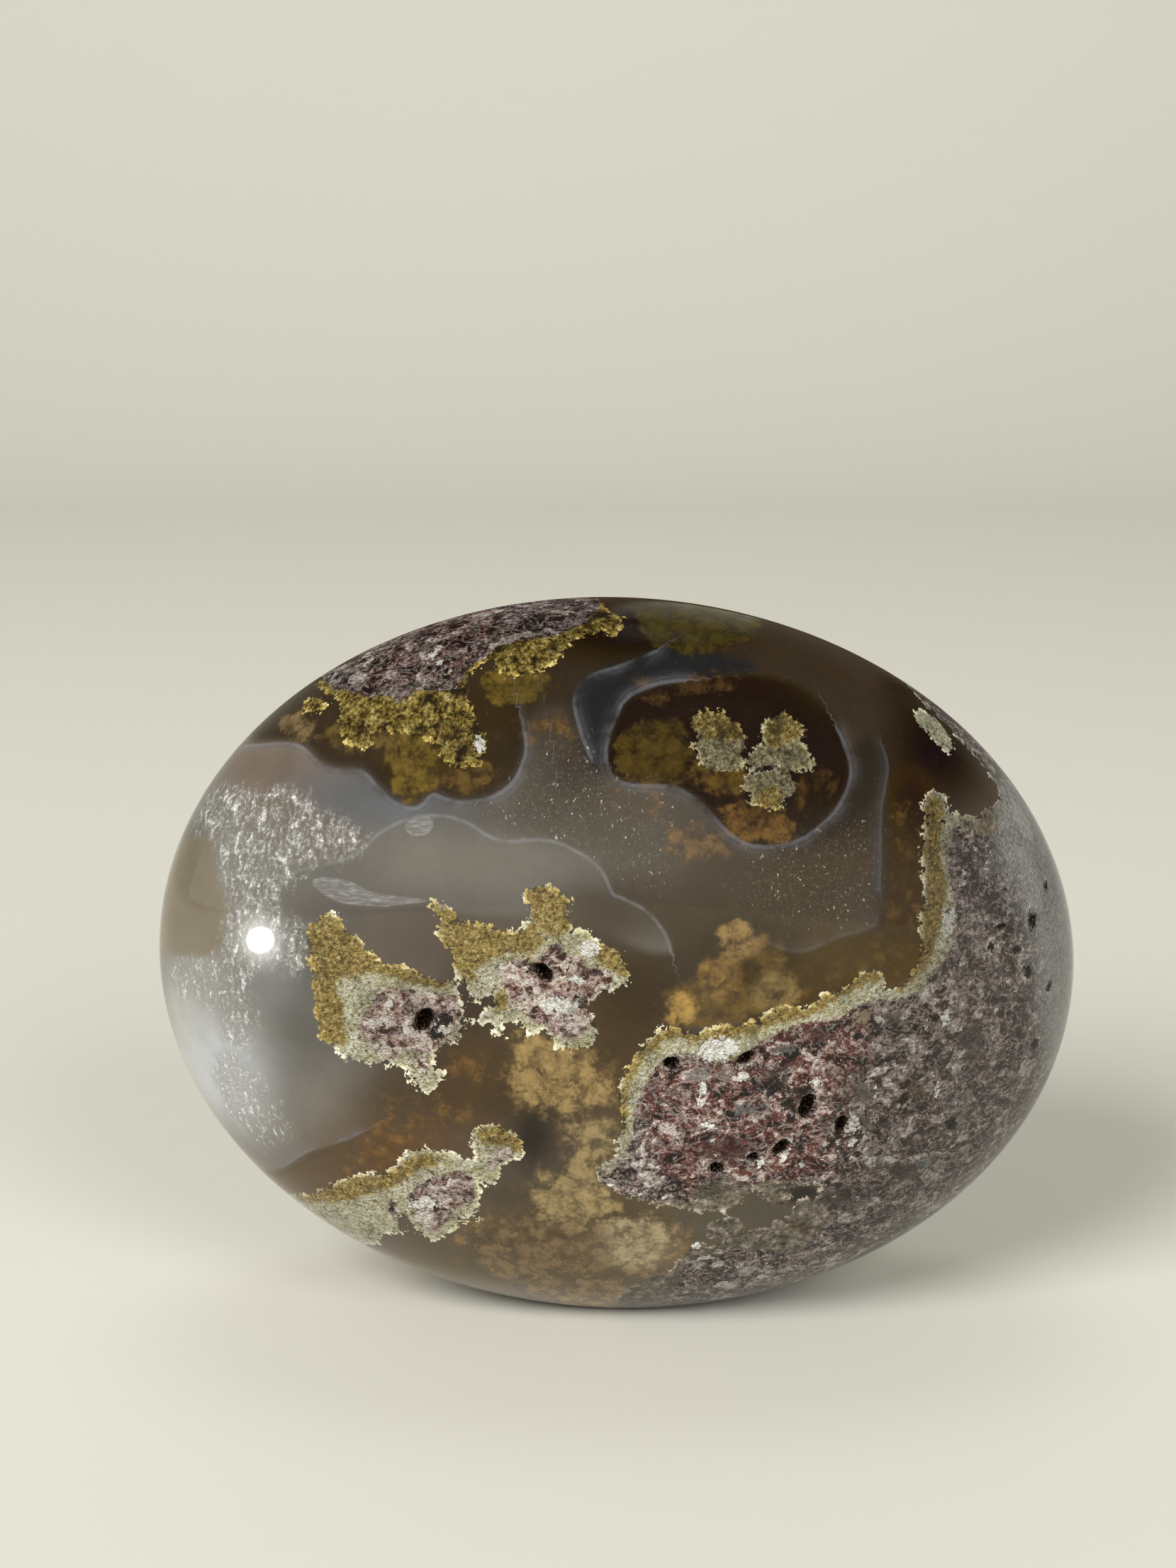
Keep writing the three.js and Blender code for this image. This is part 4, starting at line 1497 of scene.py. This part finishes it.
def crumbColour(board, grain, edge):
    # moss and mauve rock, with white crystals; a smoky veil and painted shade over them, a painted
    # reflection on the right, and hollows painted dark with shade
    crumb, dust, middling = grain.crumb, grain.dust, grain.middling
    mauveMask = (board.field("mauve") + middling * 0.4 + crumb * 0.5).fade(-0.06, 0.08)
    solid = board.blend(mossColour(board, grain, edge), mauveColour(board, grain), mauveMask)
    whiteMask = (board.field("white") + crumb * 0.9 + middling * 0.5).fade(0.0, 0.2)
    chalk = board.blend(tones["chalkShade"], tones["chalk"], grain.heap.fade(0.1, 0.6))
    solid = board.blend(solid, chalk, whiteMask)
    # painted light: crumbs are painted lighter where the lamps light them less and darker where they light
    # them more
    solid = board.scaled(solid, board.field("lift"))
    # a smoky veil with painted shade over the crumbs
    solid = board.blend(solid, tones["smoke"], board.field("veilAndShade"))
    # painted reflection on the right
    solid = board.blend(solid, tones["paintedSheen"], board.field("paintedSheen") * (0.8 + crumb * 0.5))
    hollow = board.field("hollow") + crumb * 1.4 + dust * 0.4
    rim = hollow.fade(-0.5, 0.0) * (crumb + middling).fade(0.0, 0.3)
    solid = board.blend(solid, tones["hollowRim"], rim * 0.8)
    # painted shade inside the hollows
    dark = board.blend(tones["hollowShade"], tones["hollowCrumb"], (dust + crumb * 1.4).fade(0.2, 0.7))
    return board.blend(solid, dark, hollow.fade(0.05, 0.2))


def withPlumes(board, grain, ground):
    # deep moss: puffs with knobs on them, ragged at the plume's edge, with painted shade between the puffs
    # and painted light on them
    plume = board.field("plume")
    puffs = board.cells(grain.puffSpot, 0.85)
    knobs = abs(board.noise(board.shift(grain.puffSpot, (6.0, 3.0, 9.0)), 1.5, 3.0, 0.6))
    puff = 0.95 - puffs * 0.8 + knobs * 1.1 + grain.crumb * 0.45 + grain.middling * 0.35
    # painted shade between the puffs and painted light on them
    deep = board.scaled(board.tint("deep"), puff.fade(0.1, 1.1) * 1.25 + 0.32)
    mask = plume * 1.5 + grain.middling * 1.3 + grain.crumb * 0.4 + (0.45 - puffs) * 0.9
    return board.blend(ground, deep, mask.fade(0.25, 1.25) * plume.fade(0.0, 0.5) * 0.85)


def withBands(board, grain, ground):
    # the agate's bands: fine stripes in a pale haze on one side of each line and in the dark on the other
    broad, middling = grain.broad, grain.middling
    band = board.field("band") + broad * 0.18 + middling * 0.04
    stripes = (band * 14.0).wave() * 0.6 + (band * 31.0).wave() * 0.4
    faint = (broad + grain.other * 0.5).fade(-0.5, 0.25) * board.field("bandShare")
    hazeSide = band.fade(-1.1, 0.0) * band.fade(0.06, -0.06)
    ground = board.blend(ground, tones["bandHaze"], hazeSide * (0.26 + stripes * 0.12) * faint)
    darkSide = band.fade(1.0, 0.0) * band.fade(-0.02, 0.12)
    ground = board.scaled(ground, 1.0 - darkSide * (0.2 + stripes * 0.12) * faint)
    ground = board.blend(ground, tones["bandLine"], abs(band + 0.1).fade(0.24, 0.0) * faint * 0.26)
    edgeLine = abs(board.field("edgeLine") + broad * 0.1 + middling * 0.03)
    edgeShare = edgeLine.fade(0.2, 0.0) * middling.fade(-0.7, 0.3) * 0.3
    return board.blend(ground, tones["cloudLine"], edgeShare)


def withFlakes(board, grain, ground):
    # two glassy flakes, and fine specks in the clear rock
    crumb = grain.crumb
    streak = board.noise(board.stretched(grain.spot, (1.0, 1.0, 5.0)), 1.4, 3.0, 0.6)
    flake = (board.field("flake") + crumb * 0.06).fade(-0.03, 0.05)
    flakeColour = board.blend(tones["flakeDark"], tones["flakePale"], streak.fade(-0.2, 0.5))
    ground = board.blend(ground, flakeColour, flake * (0.3 + streak * 0.3))
    fleckSpot = board.turned(grain.pushed, (0.0, 0.9, 0.0), (1.0, 1.0, 0.5))
    fleck = board.noise(fleckSpot, 6.5, 1.5, 0.5) + (grain.middling + grain.other) * 0.22
    inSpeck = board.field("speck").fade(-1.8, 1.0)
    ground = board.blend(ground, tones["fleck"], fleck.fade(0.36, 0.6) * (inSpeck * 0.8 + 0.04))
    dusty = (grain.dust * 0.7 + crumb * 0.6).fade(0.0, 0.7)
    return board.blend(ground, tones["speckDust"], dusty * inSpeck * 0.3)


def withDruse(board, grain, ground):
    # small crystals: slanting shards, with painted glints of their facets between them
    crumb = grain.crumb
    mask = (board.field("druse") + grain.middling * 0.9 + crumb * 0.4).fade(-0.7, 0.7)
    shardSpot = board.turned(grain.puffSpot, (0.2, 0.75, 0.3), (1.0, 1.0, 0.28))
    shards = board.noise(shardSpot, 2.6, 4.0, 0.65)
    # painted glints on the crystals' facets
    facetGlints = board.red(board.cells(grain.spot, 5.0, "Color"))
    glint = 0.39 + shards * 0.8 + facetGlints * 0.22 + crumb * 0.35 + grain.dust * 0.3
    return board.blend(ground, board.ramp(glint, ramps["druse"]), mask * glint.fade(0.12, 0.65) * 0.72)


def clearColour(board, grain):
    # clear rock: painted haze with faint wisps, what lies in it, and a painted glow round the highlight
    wisps = board.noise(grain.spot, 0.22, 4.0, 0.55, 0.4)
    ground = board.scaled(board.tint("ground"), (wisps * 0.28 + grain.middling * 0.06 + 1.0).most(0.5))
    for layer in (withPlumes, withBands, withFlakes, withDruse):
        ground = layer(board, grain, ground)
    # painted glow: the rock is painted paler round the highlight
    return board.blend(ground, tones["glow"], board.field("glow") * 0.62)


def agateMaterial():
    board = Board("agate")
    grain = rockGrain(board)
    crumb, dust = grain.crumb, grain.dust
    # crumbs stand out from a wandering edge, and loose ones lie outside it
    crumbDepth = board.field("crumbly")
    edge = crumbDepth + 0.1 + grain.middling * 0.45 + crumb * 0.6 + (0.5 - grain.lobes) * 0.6
    crumbMask = edge.fade(0.0, 0.07)
    colour = board.blend(clearColour(board, grain), crumbColour(board, grain, edge), crumbMask)
    # the open pits, painted dark with shade and a few crumbs, in a pale ragged lip
    hole = board.field("pit") + crumb * 0.38 + dust * 0.12
    lip = hole.fade(-0.34, -0.02) * (crumb + grain.middling).fade(-0.2, 0.3)
    colour = board.blend(colour, tones["pitLip"], lip * 0.75)
    pit = hole.fade(-0.02, 0.05)
    pitColour = board.blend(tones["pitShade"], tones["pitCrumb"], (dust + crumb).fade(0.05, 0.7))
    colour = board.blend(colour, pitColour, pit)

    rough = (crumb * 1.1 - grain.grains * 0.3 + dust * 0.4) * crumbDepth.fade(-0.1, 0.2)
    bump = board.add("ShaderNodeBump", {}, {"Strength": 1.0, "Distance": 0.0004, "Height": rough})
    opaque = board.add("ShaderNodeBsdfPrincipled", {}, {
        "Base Color": colour, "Roughness": 0.6, "Specular IOR Level": 0.0, "Normal": bump,
        "Coat Weight": (1.0 - pit) * (1.0 - board.field("rim") * 0.97), **polish,
    })
    clear = board.add("ShaderNodeBsdfPrincipled", {}, {
        "Base Color": tones["clearRock"], "Roughness": 0.24, "IOR": 1.54, "Transmission Weight": 1.0,
        "Specular Tint": tones["none"], "Coat Weight": 1.0, **polish,
    })
    window = board.field("window") * (0.75 + grain.other * 0.5)
    share = (1.0 - window).most(crumbMask)
    mixed = board.add("ShaderNodeMixShader", {}, {0: share, 1: clear, 2: opaque})
    smoke = board.add("ShaderNodeVolumeAbsorption", {}, {"Color": tones["smokeInside"], "Density": 90.0})
    return board.finish(mixed, smoke)


skin = buildSkin()
skin.data.materials.append(agateMaterial())
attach(skin, "root")
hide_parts(stone["node"])
print("skin made")


# Moss inside the clear rock: lumps heaped on each other under the skin.
# Each lump: pixel, reach across and up in pixels, the depth of its top under the skin, and its colour.
moss = {
    "steps": 28,         # grid steps across one lump
    "thick": 0.8,        # thickness as a share of its smaller reach
    "swell": 0.34,       # how far its swellings stand out, as a share of its reach
    "fold": 2.4,         # how narrow the folds between them are
    "level": 0.5,        # a swell that leaves the ball as it is
    "sizes": [(0.8, 4, 0.5), (1.7, 5, 0.35), (3.4, 6, 0.25)],   # patches to a millimetre, seed and share
    "lowest": 0.5,       # millimetres over the ground
    # painted shade in the folds and painted light on the swellings
    "foldShade": (36, 26, 14),
    "swellLight": (244, 218, 158),
    "overgrown": (122, 106, 72),
}
lattice = {"size": 32, "shift": 100.0, "gain": 1.6}
lumps = {
    "underFringe": [
        ((470, 1010), (24, 18), 0.5, (150, 124, 60)), ((508, 1036), (30, 24), 0.5, (158, 130, 58)),
        ((540, 1052), (26, 26), 0.9, (150, 118, 56)), ((560, 1022), (24, 20), 0.4, (164, 138, 66)),
        ((598, 1028), (26, 22), 0.5, (160, 134, 62)), ((574, 1074), (34, 34), 1.2, (156, 116, 58)),
        ((586, 1108), (26, 24), 1.6, (140, 102, 52)), ((626, 1060), (24, 26), 0.8, (150, 124, 56)),
        ((612, 1090), (26, 20), 1.5, (138, 104, 52)), ((660, 1096), (34, 18), 1.2, (144, 112, 52)),
        ((694, 1092), (24, 16), 1.6, (128, 98, 48)), ((672, 1010), (22, 26), 0.5, (140, 120, 54)),
        ((700, 976), (30, 26), 0.6, (140, 122, 56)), ((742, 972), (34, 26), 0.8, (136, 114, 54)),
        ((770, 950), (28, 20), 0.8, (130, 108, 50)), ((724, 1000), (24, 18), 1.2, (112, 90, 44)),
        ((404, 1024), (46, 22), 1.4, (132, 100, 62)), ((452, 1046), (26, 16), 1.2, (128, 98, 56)),
    ],
    "crown": [
        ((884, 880), (34, 18), 0.8, (104, 90, 42)), ((960, 874), (46, 18), 0.8, (114, 100, 52)),
        ((1010, 882), (40, 20), 1.0, (104, 92, 48)), ((1060, 896), (30, 14), 1.6, (84, 72, 40)),
    ],
    "roundPair": [
        ((920, 1030), (34, 28), 0.9, (110, 92, 42)), ((952, 1056), (34, 30), 0.8, (120, 98, 44)),
        ((902, 1078), (40, 26), 1.6, (124, 88, 48)), ((944, 1098), (38, 18), 2.0, (120, 82, 46)),
        ((990, 1098), (34, 20), 0.9, (130, 106, 54)), ((1026, 1112), (30, 20), 1.0, (126, 100, 52)),
        ((1052, 1140), (34, 22), 1.4, (142, 104, 52)), ((1090, 1160), (42, 24), 1.5, (150, 110, 54)),
        ((1128, 1132), (30, 26), 2.0, (124, 86, 44)), ((1150, 1096), (28, 36), 2.2, (102, 72, 38)),
        ((988, 986), (52, 22), 2.2, (110, 76, 42)), ((1060, 986), (40, 20), 2.6, (92, 64, 36)),
        ((1010, 1030), (60, 40), 2.4, (96, 72, 38)), ((1090, 1080), (60, 50), 2.6, (88, 66, 36)),
        ((972, 1194), (46, 22), 2.2, (132, 104, 70)), ((1030, 1200), (30, 16), 2.8, (108, 84, 58)),
    ],
    "goldenSide": [
        ((1290, 1160), (20, 40), 1.0, (104, 78, 30)), ((1282, 1230), (24, 44), 1.1, (116, 84, 28)),
        ((1284, 1300), (24, 44), 1.2, (112, 82, 28)), ((1262, 1352), (30, 24), 1.4, (104, 74, 30)),
        ((1200, 1366), (50, 22), 1.8, (138, 108, 66)), ((1156, 1386), (36, 20), 1.6, (128, 100, 58)),
        ((1226, 1332), (36, 22), 2.4, (112, 84, 44)),
    ],
    "overMatrix": [
        ((956, 1426), (30, 24), 0.5, (176, 142, 82)), ((930, 1446), (24, 16), 0.9, (168, 136, 76)),
        ((1004, 1380), (30, 26), 0.9, (176, 142, 80)), ((1024, 1408), (26, 22), 0.9, (172, 140, 80)),
        ((990, 1412), (24, 20), 1.3, (150, 118, 66)), ((1046, 1328), (30, 34), 1.5, (148, 114, 64)),
        ((1030, 1352), (28, 26), 1.3, (156, 122, 70)), ((1074, 1366), (30, 26), 1.6, (150, 118, 70)),
        ((1094, 1402), (34, 26), 0.9, (168, 140, 82)), ((1060, 1424), (26, 20), 0.8, (174, 144, 82)),
        ((1118, 1412), (22, 16), 0.9, (150, 126, 74)), ((968, 1350), (36, 26), 2.6, (110, 84, 50)),
    ],
    "deepPlume": [
        ((728, 1490), (30, 32), 1.4, (170, 132, 74)), ((764, 1478), (32, 28), 1.3, (176, 138, 78)),
        ((804, 1484), (30, 28), 1.5, (178, 144, 86)), ((838, 1500), (26, 28), 1.7, (170, 136, 78)),
        ((780, 1514), (30, 24), 1.7, (168, 132, 78)), ((818, 1528), (30, 26), 1.6, (172, 138, 82)),
        ((742, 1530), (32, 26), 1.8, (166, 126, 68)), ((786, 1552), (34, 24), 1.6, (172, 132, 70)),
        ((838, 1560), (26, 24), 1.9, (160, 126, 70)), ((736, 1568), (30, 22), 2.1, (150, 112, 60)),
        ((690, 1540), (26, 28), 2.4, (124, 92, 52)), ((860, 1600), (24, 34), 1.2, (170, 142, 80)),
        ((846, 1640), (24, 26), 1.4, (164, 138, 82)), ((806, 1614), (28, 26), 1.5, (168, 136, 78)),
        ((816, 1660), (30, 26), 1.5, (172, 144, 90)), ((780, 1684), (30, 24), 1.6, (166, 138, 88)),
        ((744, 1650), (30, 26), 2.2, (130, 104, 60)), ((700, 1684), (34, 24), 2.0, (146, 118, 70)),
        ((738, 1712), (34, 22), 1.9, (150, 122, 78)), ((664, 1740), (32, 22), 2.0, (138, 106, 66)),
        ((830, 1704), (32, 22), 1.5, (160, 138, 96)), ((872, 1704), (28, 18), 1.1, (164, 146, 108)),
    ],
    "foot": [
        ((720, 1768), (50, 24), 2.6, (150, 118, 88)), ((790, 1752), (40, 26), 2.4, (142, 114, 76)),
        ((850, 1764), (42, 24), 2.4, (138, 112, 70)), ((800, 1800), (50, 26), 2.8, (122, 98, 60)),
        ((900, 1740), (30, 18), 1.0, (140, 124, 98)), ((936, 1756), (24, 16), 1.0, (134, 118, 96)),
        ((906, 1798), (40, 24), 2.8, (118, 94, 56)), ((880, 1830), (50, 20), 2.8, (110, 88, 54)),
        ((1004, 1728), (26, 16), 0.4, (168, 156, 132)), ((1040, 1726), (22, 14), 0.5, (162, 150, 128)),
        ((1072, 1716), (18, 10), 0.6, (150, 140, 122)),
    ],
    "behindLowIsland": [
        ((540, 1620), (46, 30), 2.6, (150, 100, 54)), ((600, 1600), (40, 24), 3.0, (130, 88, 48)),
        ((480, 1644), (40, 18), 2.4, (134, 100, 62)),
    ],
}


def latticeNoise(points, scale, seed):
    # gradient noise, about -1 to 1: at each corner of a cube lattice a random slope, times the way from that
    # corner, blended with soft steps; each seed turns the lattice its own way, so that it doesn't show
    random = np.random.default_rng(seed)
    slopes = random.normal(size=(lattice["size"],) * 3 + (3,))
    slopes /= np.linalg.norm(slopes, axis=-1, keepdims=True)
    turn, _ = np.linalg.qr(random.normal(size=(3, 3)))
    at = points @ turn * scale + lattice["shift"]
    low = np.floor(at).astype(int)
    share = at - low
    soft = share**3 * (share * (share * 6 - 15) + 10)
    total = np.zeros(len(points))
    for corner in np.ndindex(2, 2, 2):
        weight = np.prod(np.where(np.array(corner) == 1, soft, 1 - soft), axis=1)
        cell = (low + corner) % lattice["size"]
        slope = slopes[cell[:, 0], cell[:, 1], cell[:, 2]]
        total += weight * ((share - corner) * slope).sum(1)
    return total * lattice["gain"]


def buildMoss():
    # each lump is a ball flattened to its reaches, swollen where the noise is near nothing:
    # its radius is 1 + swell times (1 - fold |noise|), summed over three sizes, less a level
    across, up = squareToDisc(moss["steps"])
    _, _, faces = skinGrid(moss["steps"])
    inner = np.ones(across.shape, bool)
    inner[0, :] = inner[-1, :] = inner[:, 0] = inner[:, -1] = False
    radius = np.hypot(across, up)
    lift = np.cos(radius * math.pi / 2)
    flat = np.sin(radius * math.pi / 2) / np.maximum(radius, tiny)
    front = np.stack([across * flat, up * flat, lift], -1)
    ball = np.concatenate([front.reshape(-1, 3), (front * (1, 1, -1))[inner]])
    lumpRows = rowsOf(lumps)
    spots, _ = photoHits([row[0] for row in lumpRows])
    outward = skinNormals(spots)
    points, meshFaces, colours = [], [], []
    for spot, normal, (_, reach, top, shade) in zip(spots, outward, lumpRows):
        wide, high = np.array(reach) / photoScale
        deep = min(wide, high) * moss["thick"]
        sideways = np.cross((0.0, 0.0, 1.0), normal)
        sideways /= np.linalg.norm(sideways)
        upward = np.cross(normal, sideways)
        shape = np.stack([sideways * wide, upward * high, normal * deep])
        rough = ball @ shape + spot
        swell = sum(
            (1 - moss["fold"] * np.abs(latticeNoise(rough, scale, seed))) * share
            for scale, seed, share in moss["sizes"]
        )
        lump = ball * (1 + moss["swell"] * (swell - moss["level"]))[:, None]
        meshFaces.append(faces + len(ball) * len(points))
        points.append(lump @ shape + spot - normal * (top + deep))
        colours.append(np.tile(np.array(linear(*shade)), (len(ball), 1)))
        colours[-1][:, 3] = swell
    points, colours = np.concatenate(points), np.concatenate(colours)
    points[:, 2] = np.maximum(points[:, 2], moss["lowest"])
    swell = colours[:, 3].copy()
    colours[:, 3] = 1.0
    print("inner moss worked out:", len(lumpRows), "lumps,", len(points), "points")
    return meshPiece("inner_moss", points, np.concatenate(meshFaces), {"swell": swell}, {"shade": colours})


def mossMaterial():
    # each lump's own colour, with painted shade in its folds and painted light on its swellings and crumbs
    board = Board("inner_moss")
    spot = board.place()
    swell = board.field("swell")
    crumb = board.noise(spot, 2.4, 4.0, 0.7)
    shade = board.tint("shade")
    heap = swell * 0.8 + crumb * 0.7
    colour = board.blend(shade, linear(*moss["foldShade"]), heap.fade(0.3, -0.5) * 0.8)
    colour = board.blend(colour, linear(*moss["swellLight"]), heap.fade(0.5, 1.2) * 0.5)
    colour = board.blend(colour, linear(*moss["overgrown"]), 0.25)
    surface = board.add("ShaderNodeBsdfPrincipled", {}, {"Base Color": colour, "Roughness": 0.8})
    return board.finish(surface)


innerMoss = buildMoss()
innerMoss.data.materials.append(mossMaterial())
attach(innerMoss, "root")
print("inner moss made")


# The pale floor that curves up into a backdrop, in metres, and the gradient that lights the room, with its
# strength at the horizon and from half way up.
studio = {
    "halfWidth": 4.0,
    "front": -0.85,
    "back": 0.55,       # where the floor starts to curve up
    "bend": 0.30,
    "high": 1.2,
    "bendSteps": 24,
    "paint": (214, 212, 200),
    "skyColour": (1.0, 0.985, 0.95, 1.0),
    "sky": {"From Min": 0.0, "From Max": 0.5, "To Min": 0.75, "To Max": 0.2},
}
highlight = {
    "far": 0.09,        # metres from the skin
    "size": 0.0165,
    "flatter": 0.62,    # the skin draws the highlight out upwards
    "power": 0.013,
}
overhead = {"place": (0.0, 0.30, 0.95), "aim": (0.0, 0.85, 0.25), "size": 0.5, "power": 2.0}


def makeFloor():
    # level to the back, then a quarter circle, then upright
    back, bend = studio["back"], studio["bend"]
    arc = np.linspace(0, math.pi / 2, studio["bendSteps"])
    profile = np.array([
        (studio["front"], 0.0),
        *((back + bend * math.sin(t), bend * (1 - math.cos(t))) for t in arc),
        (back + bend, studio["high"]),
    ])
    sides = np.array([-studio["halfWidth"], studio["halfWidth"]])
    points = np.array([(x, y, z) for y, z in profile for x in sides]) / metre
    faces = np.array([(2 * i, 2 * i + 1, 2 * i + 3, 2 * i + 2) for i in range(len(profile) - 1)])
    floor = meshPiece("floor", points, faces)
    board = Board("backdrop")
    paint = board.add("ShaderNodeBsdfPrincipled", {}, {
        "Base Color": linear(*studio["paint"]), "Roughness": 0.9, "Specular IOR Level": 0.2,
    })
    floor.data.materials.append(board.finish(paint))


def makeSky():
    # a gradient by the height that a direction looks up, from 0 at the horizon to 1 overhead
    world = bpy.data.worlds.new("studio")
    world.use_nodes = True
    sky = world.node_tree
    way = sky.nodes.new("ShaderNodeTexCoord")
    parts = sky.nodes.new("ShaderNodeSeparateXYZ")
    sky.links.new(way.outputs["Generated"], parts.inputs[0])
    rise = sky.nodes.new("ShaderNodeMapRange")
    rise.interpolation_type = "SMOOTHSTEP"
    for name, value in studio["sky"].items():
        rise.inputs[name].default_value = value
    sky.links.new(parts.outputs["Z"], rise.inputs["Value"])
    glow = sky.nodes["Background"]
    glow.inputs["Color"].default_value = studio["skyColour"]
    sky.links.new(rise.outputs["Result"], glow.inputs["Strength"])
    bpy.context.scene.world = world


def makeLamp(name, place, aim, size, power, mirrored=False, flatter=1.0):
    # an oval lamp at a place, turned towards its aim; the polish mirrors one that is mirrored, and the rock
    # is lit by the others
    light = bpy.data.lights.new(name, "AREA")
    light.shape = "ELLIPSE"
    light.size = size
    light.size_y = size * flatter
    light.energy = power
    lamp = bpy.data.objects.new(name, light)
    lamp.location = place
    lamp.rotation_euler = (Vector(aim) - Vector(place)).to_track_quat("-Z", "Y").to_euler()
    lamp.visible_glossy = mirrored
    lamp.visible_diffuse = not mirrored
    bpy.context.scene.collection.objects.link(lamp)


def makeHighlight():
    # its lamp stands where the skin mirrors it to the camera: 2 (normal . way) normal - way
    spot, _ = photoHits([photo["highlight"]])
    normal = skinNormals(spot)[0]
    way = np.array(photo["cameraAt"]) - spot[0]
    way /= np.linalg.norm(way)
    mirrored = 2 * (normal @ way) * normal - way
    shine = spot[0] * metre
    place = tuple(shine + mirrored * highlight["far"])
    makeLamp(
        "highlight", place, tuple(shine), highlight["size"], highlight["power"], True, highlight["flatter"]
    )


makeFloor()
makeSky()
makeHighlight()
for name, lamp in lamps.items():
    makeLamp(name, lamp["place"], tuple(centre * metre), lamp["size"], lamp["power"])
makeLamp("overhead", **overhead)
bpy.context.scene.view_settings.view_transform = "Standard"
print("stage and lights made")
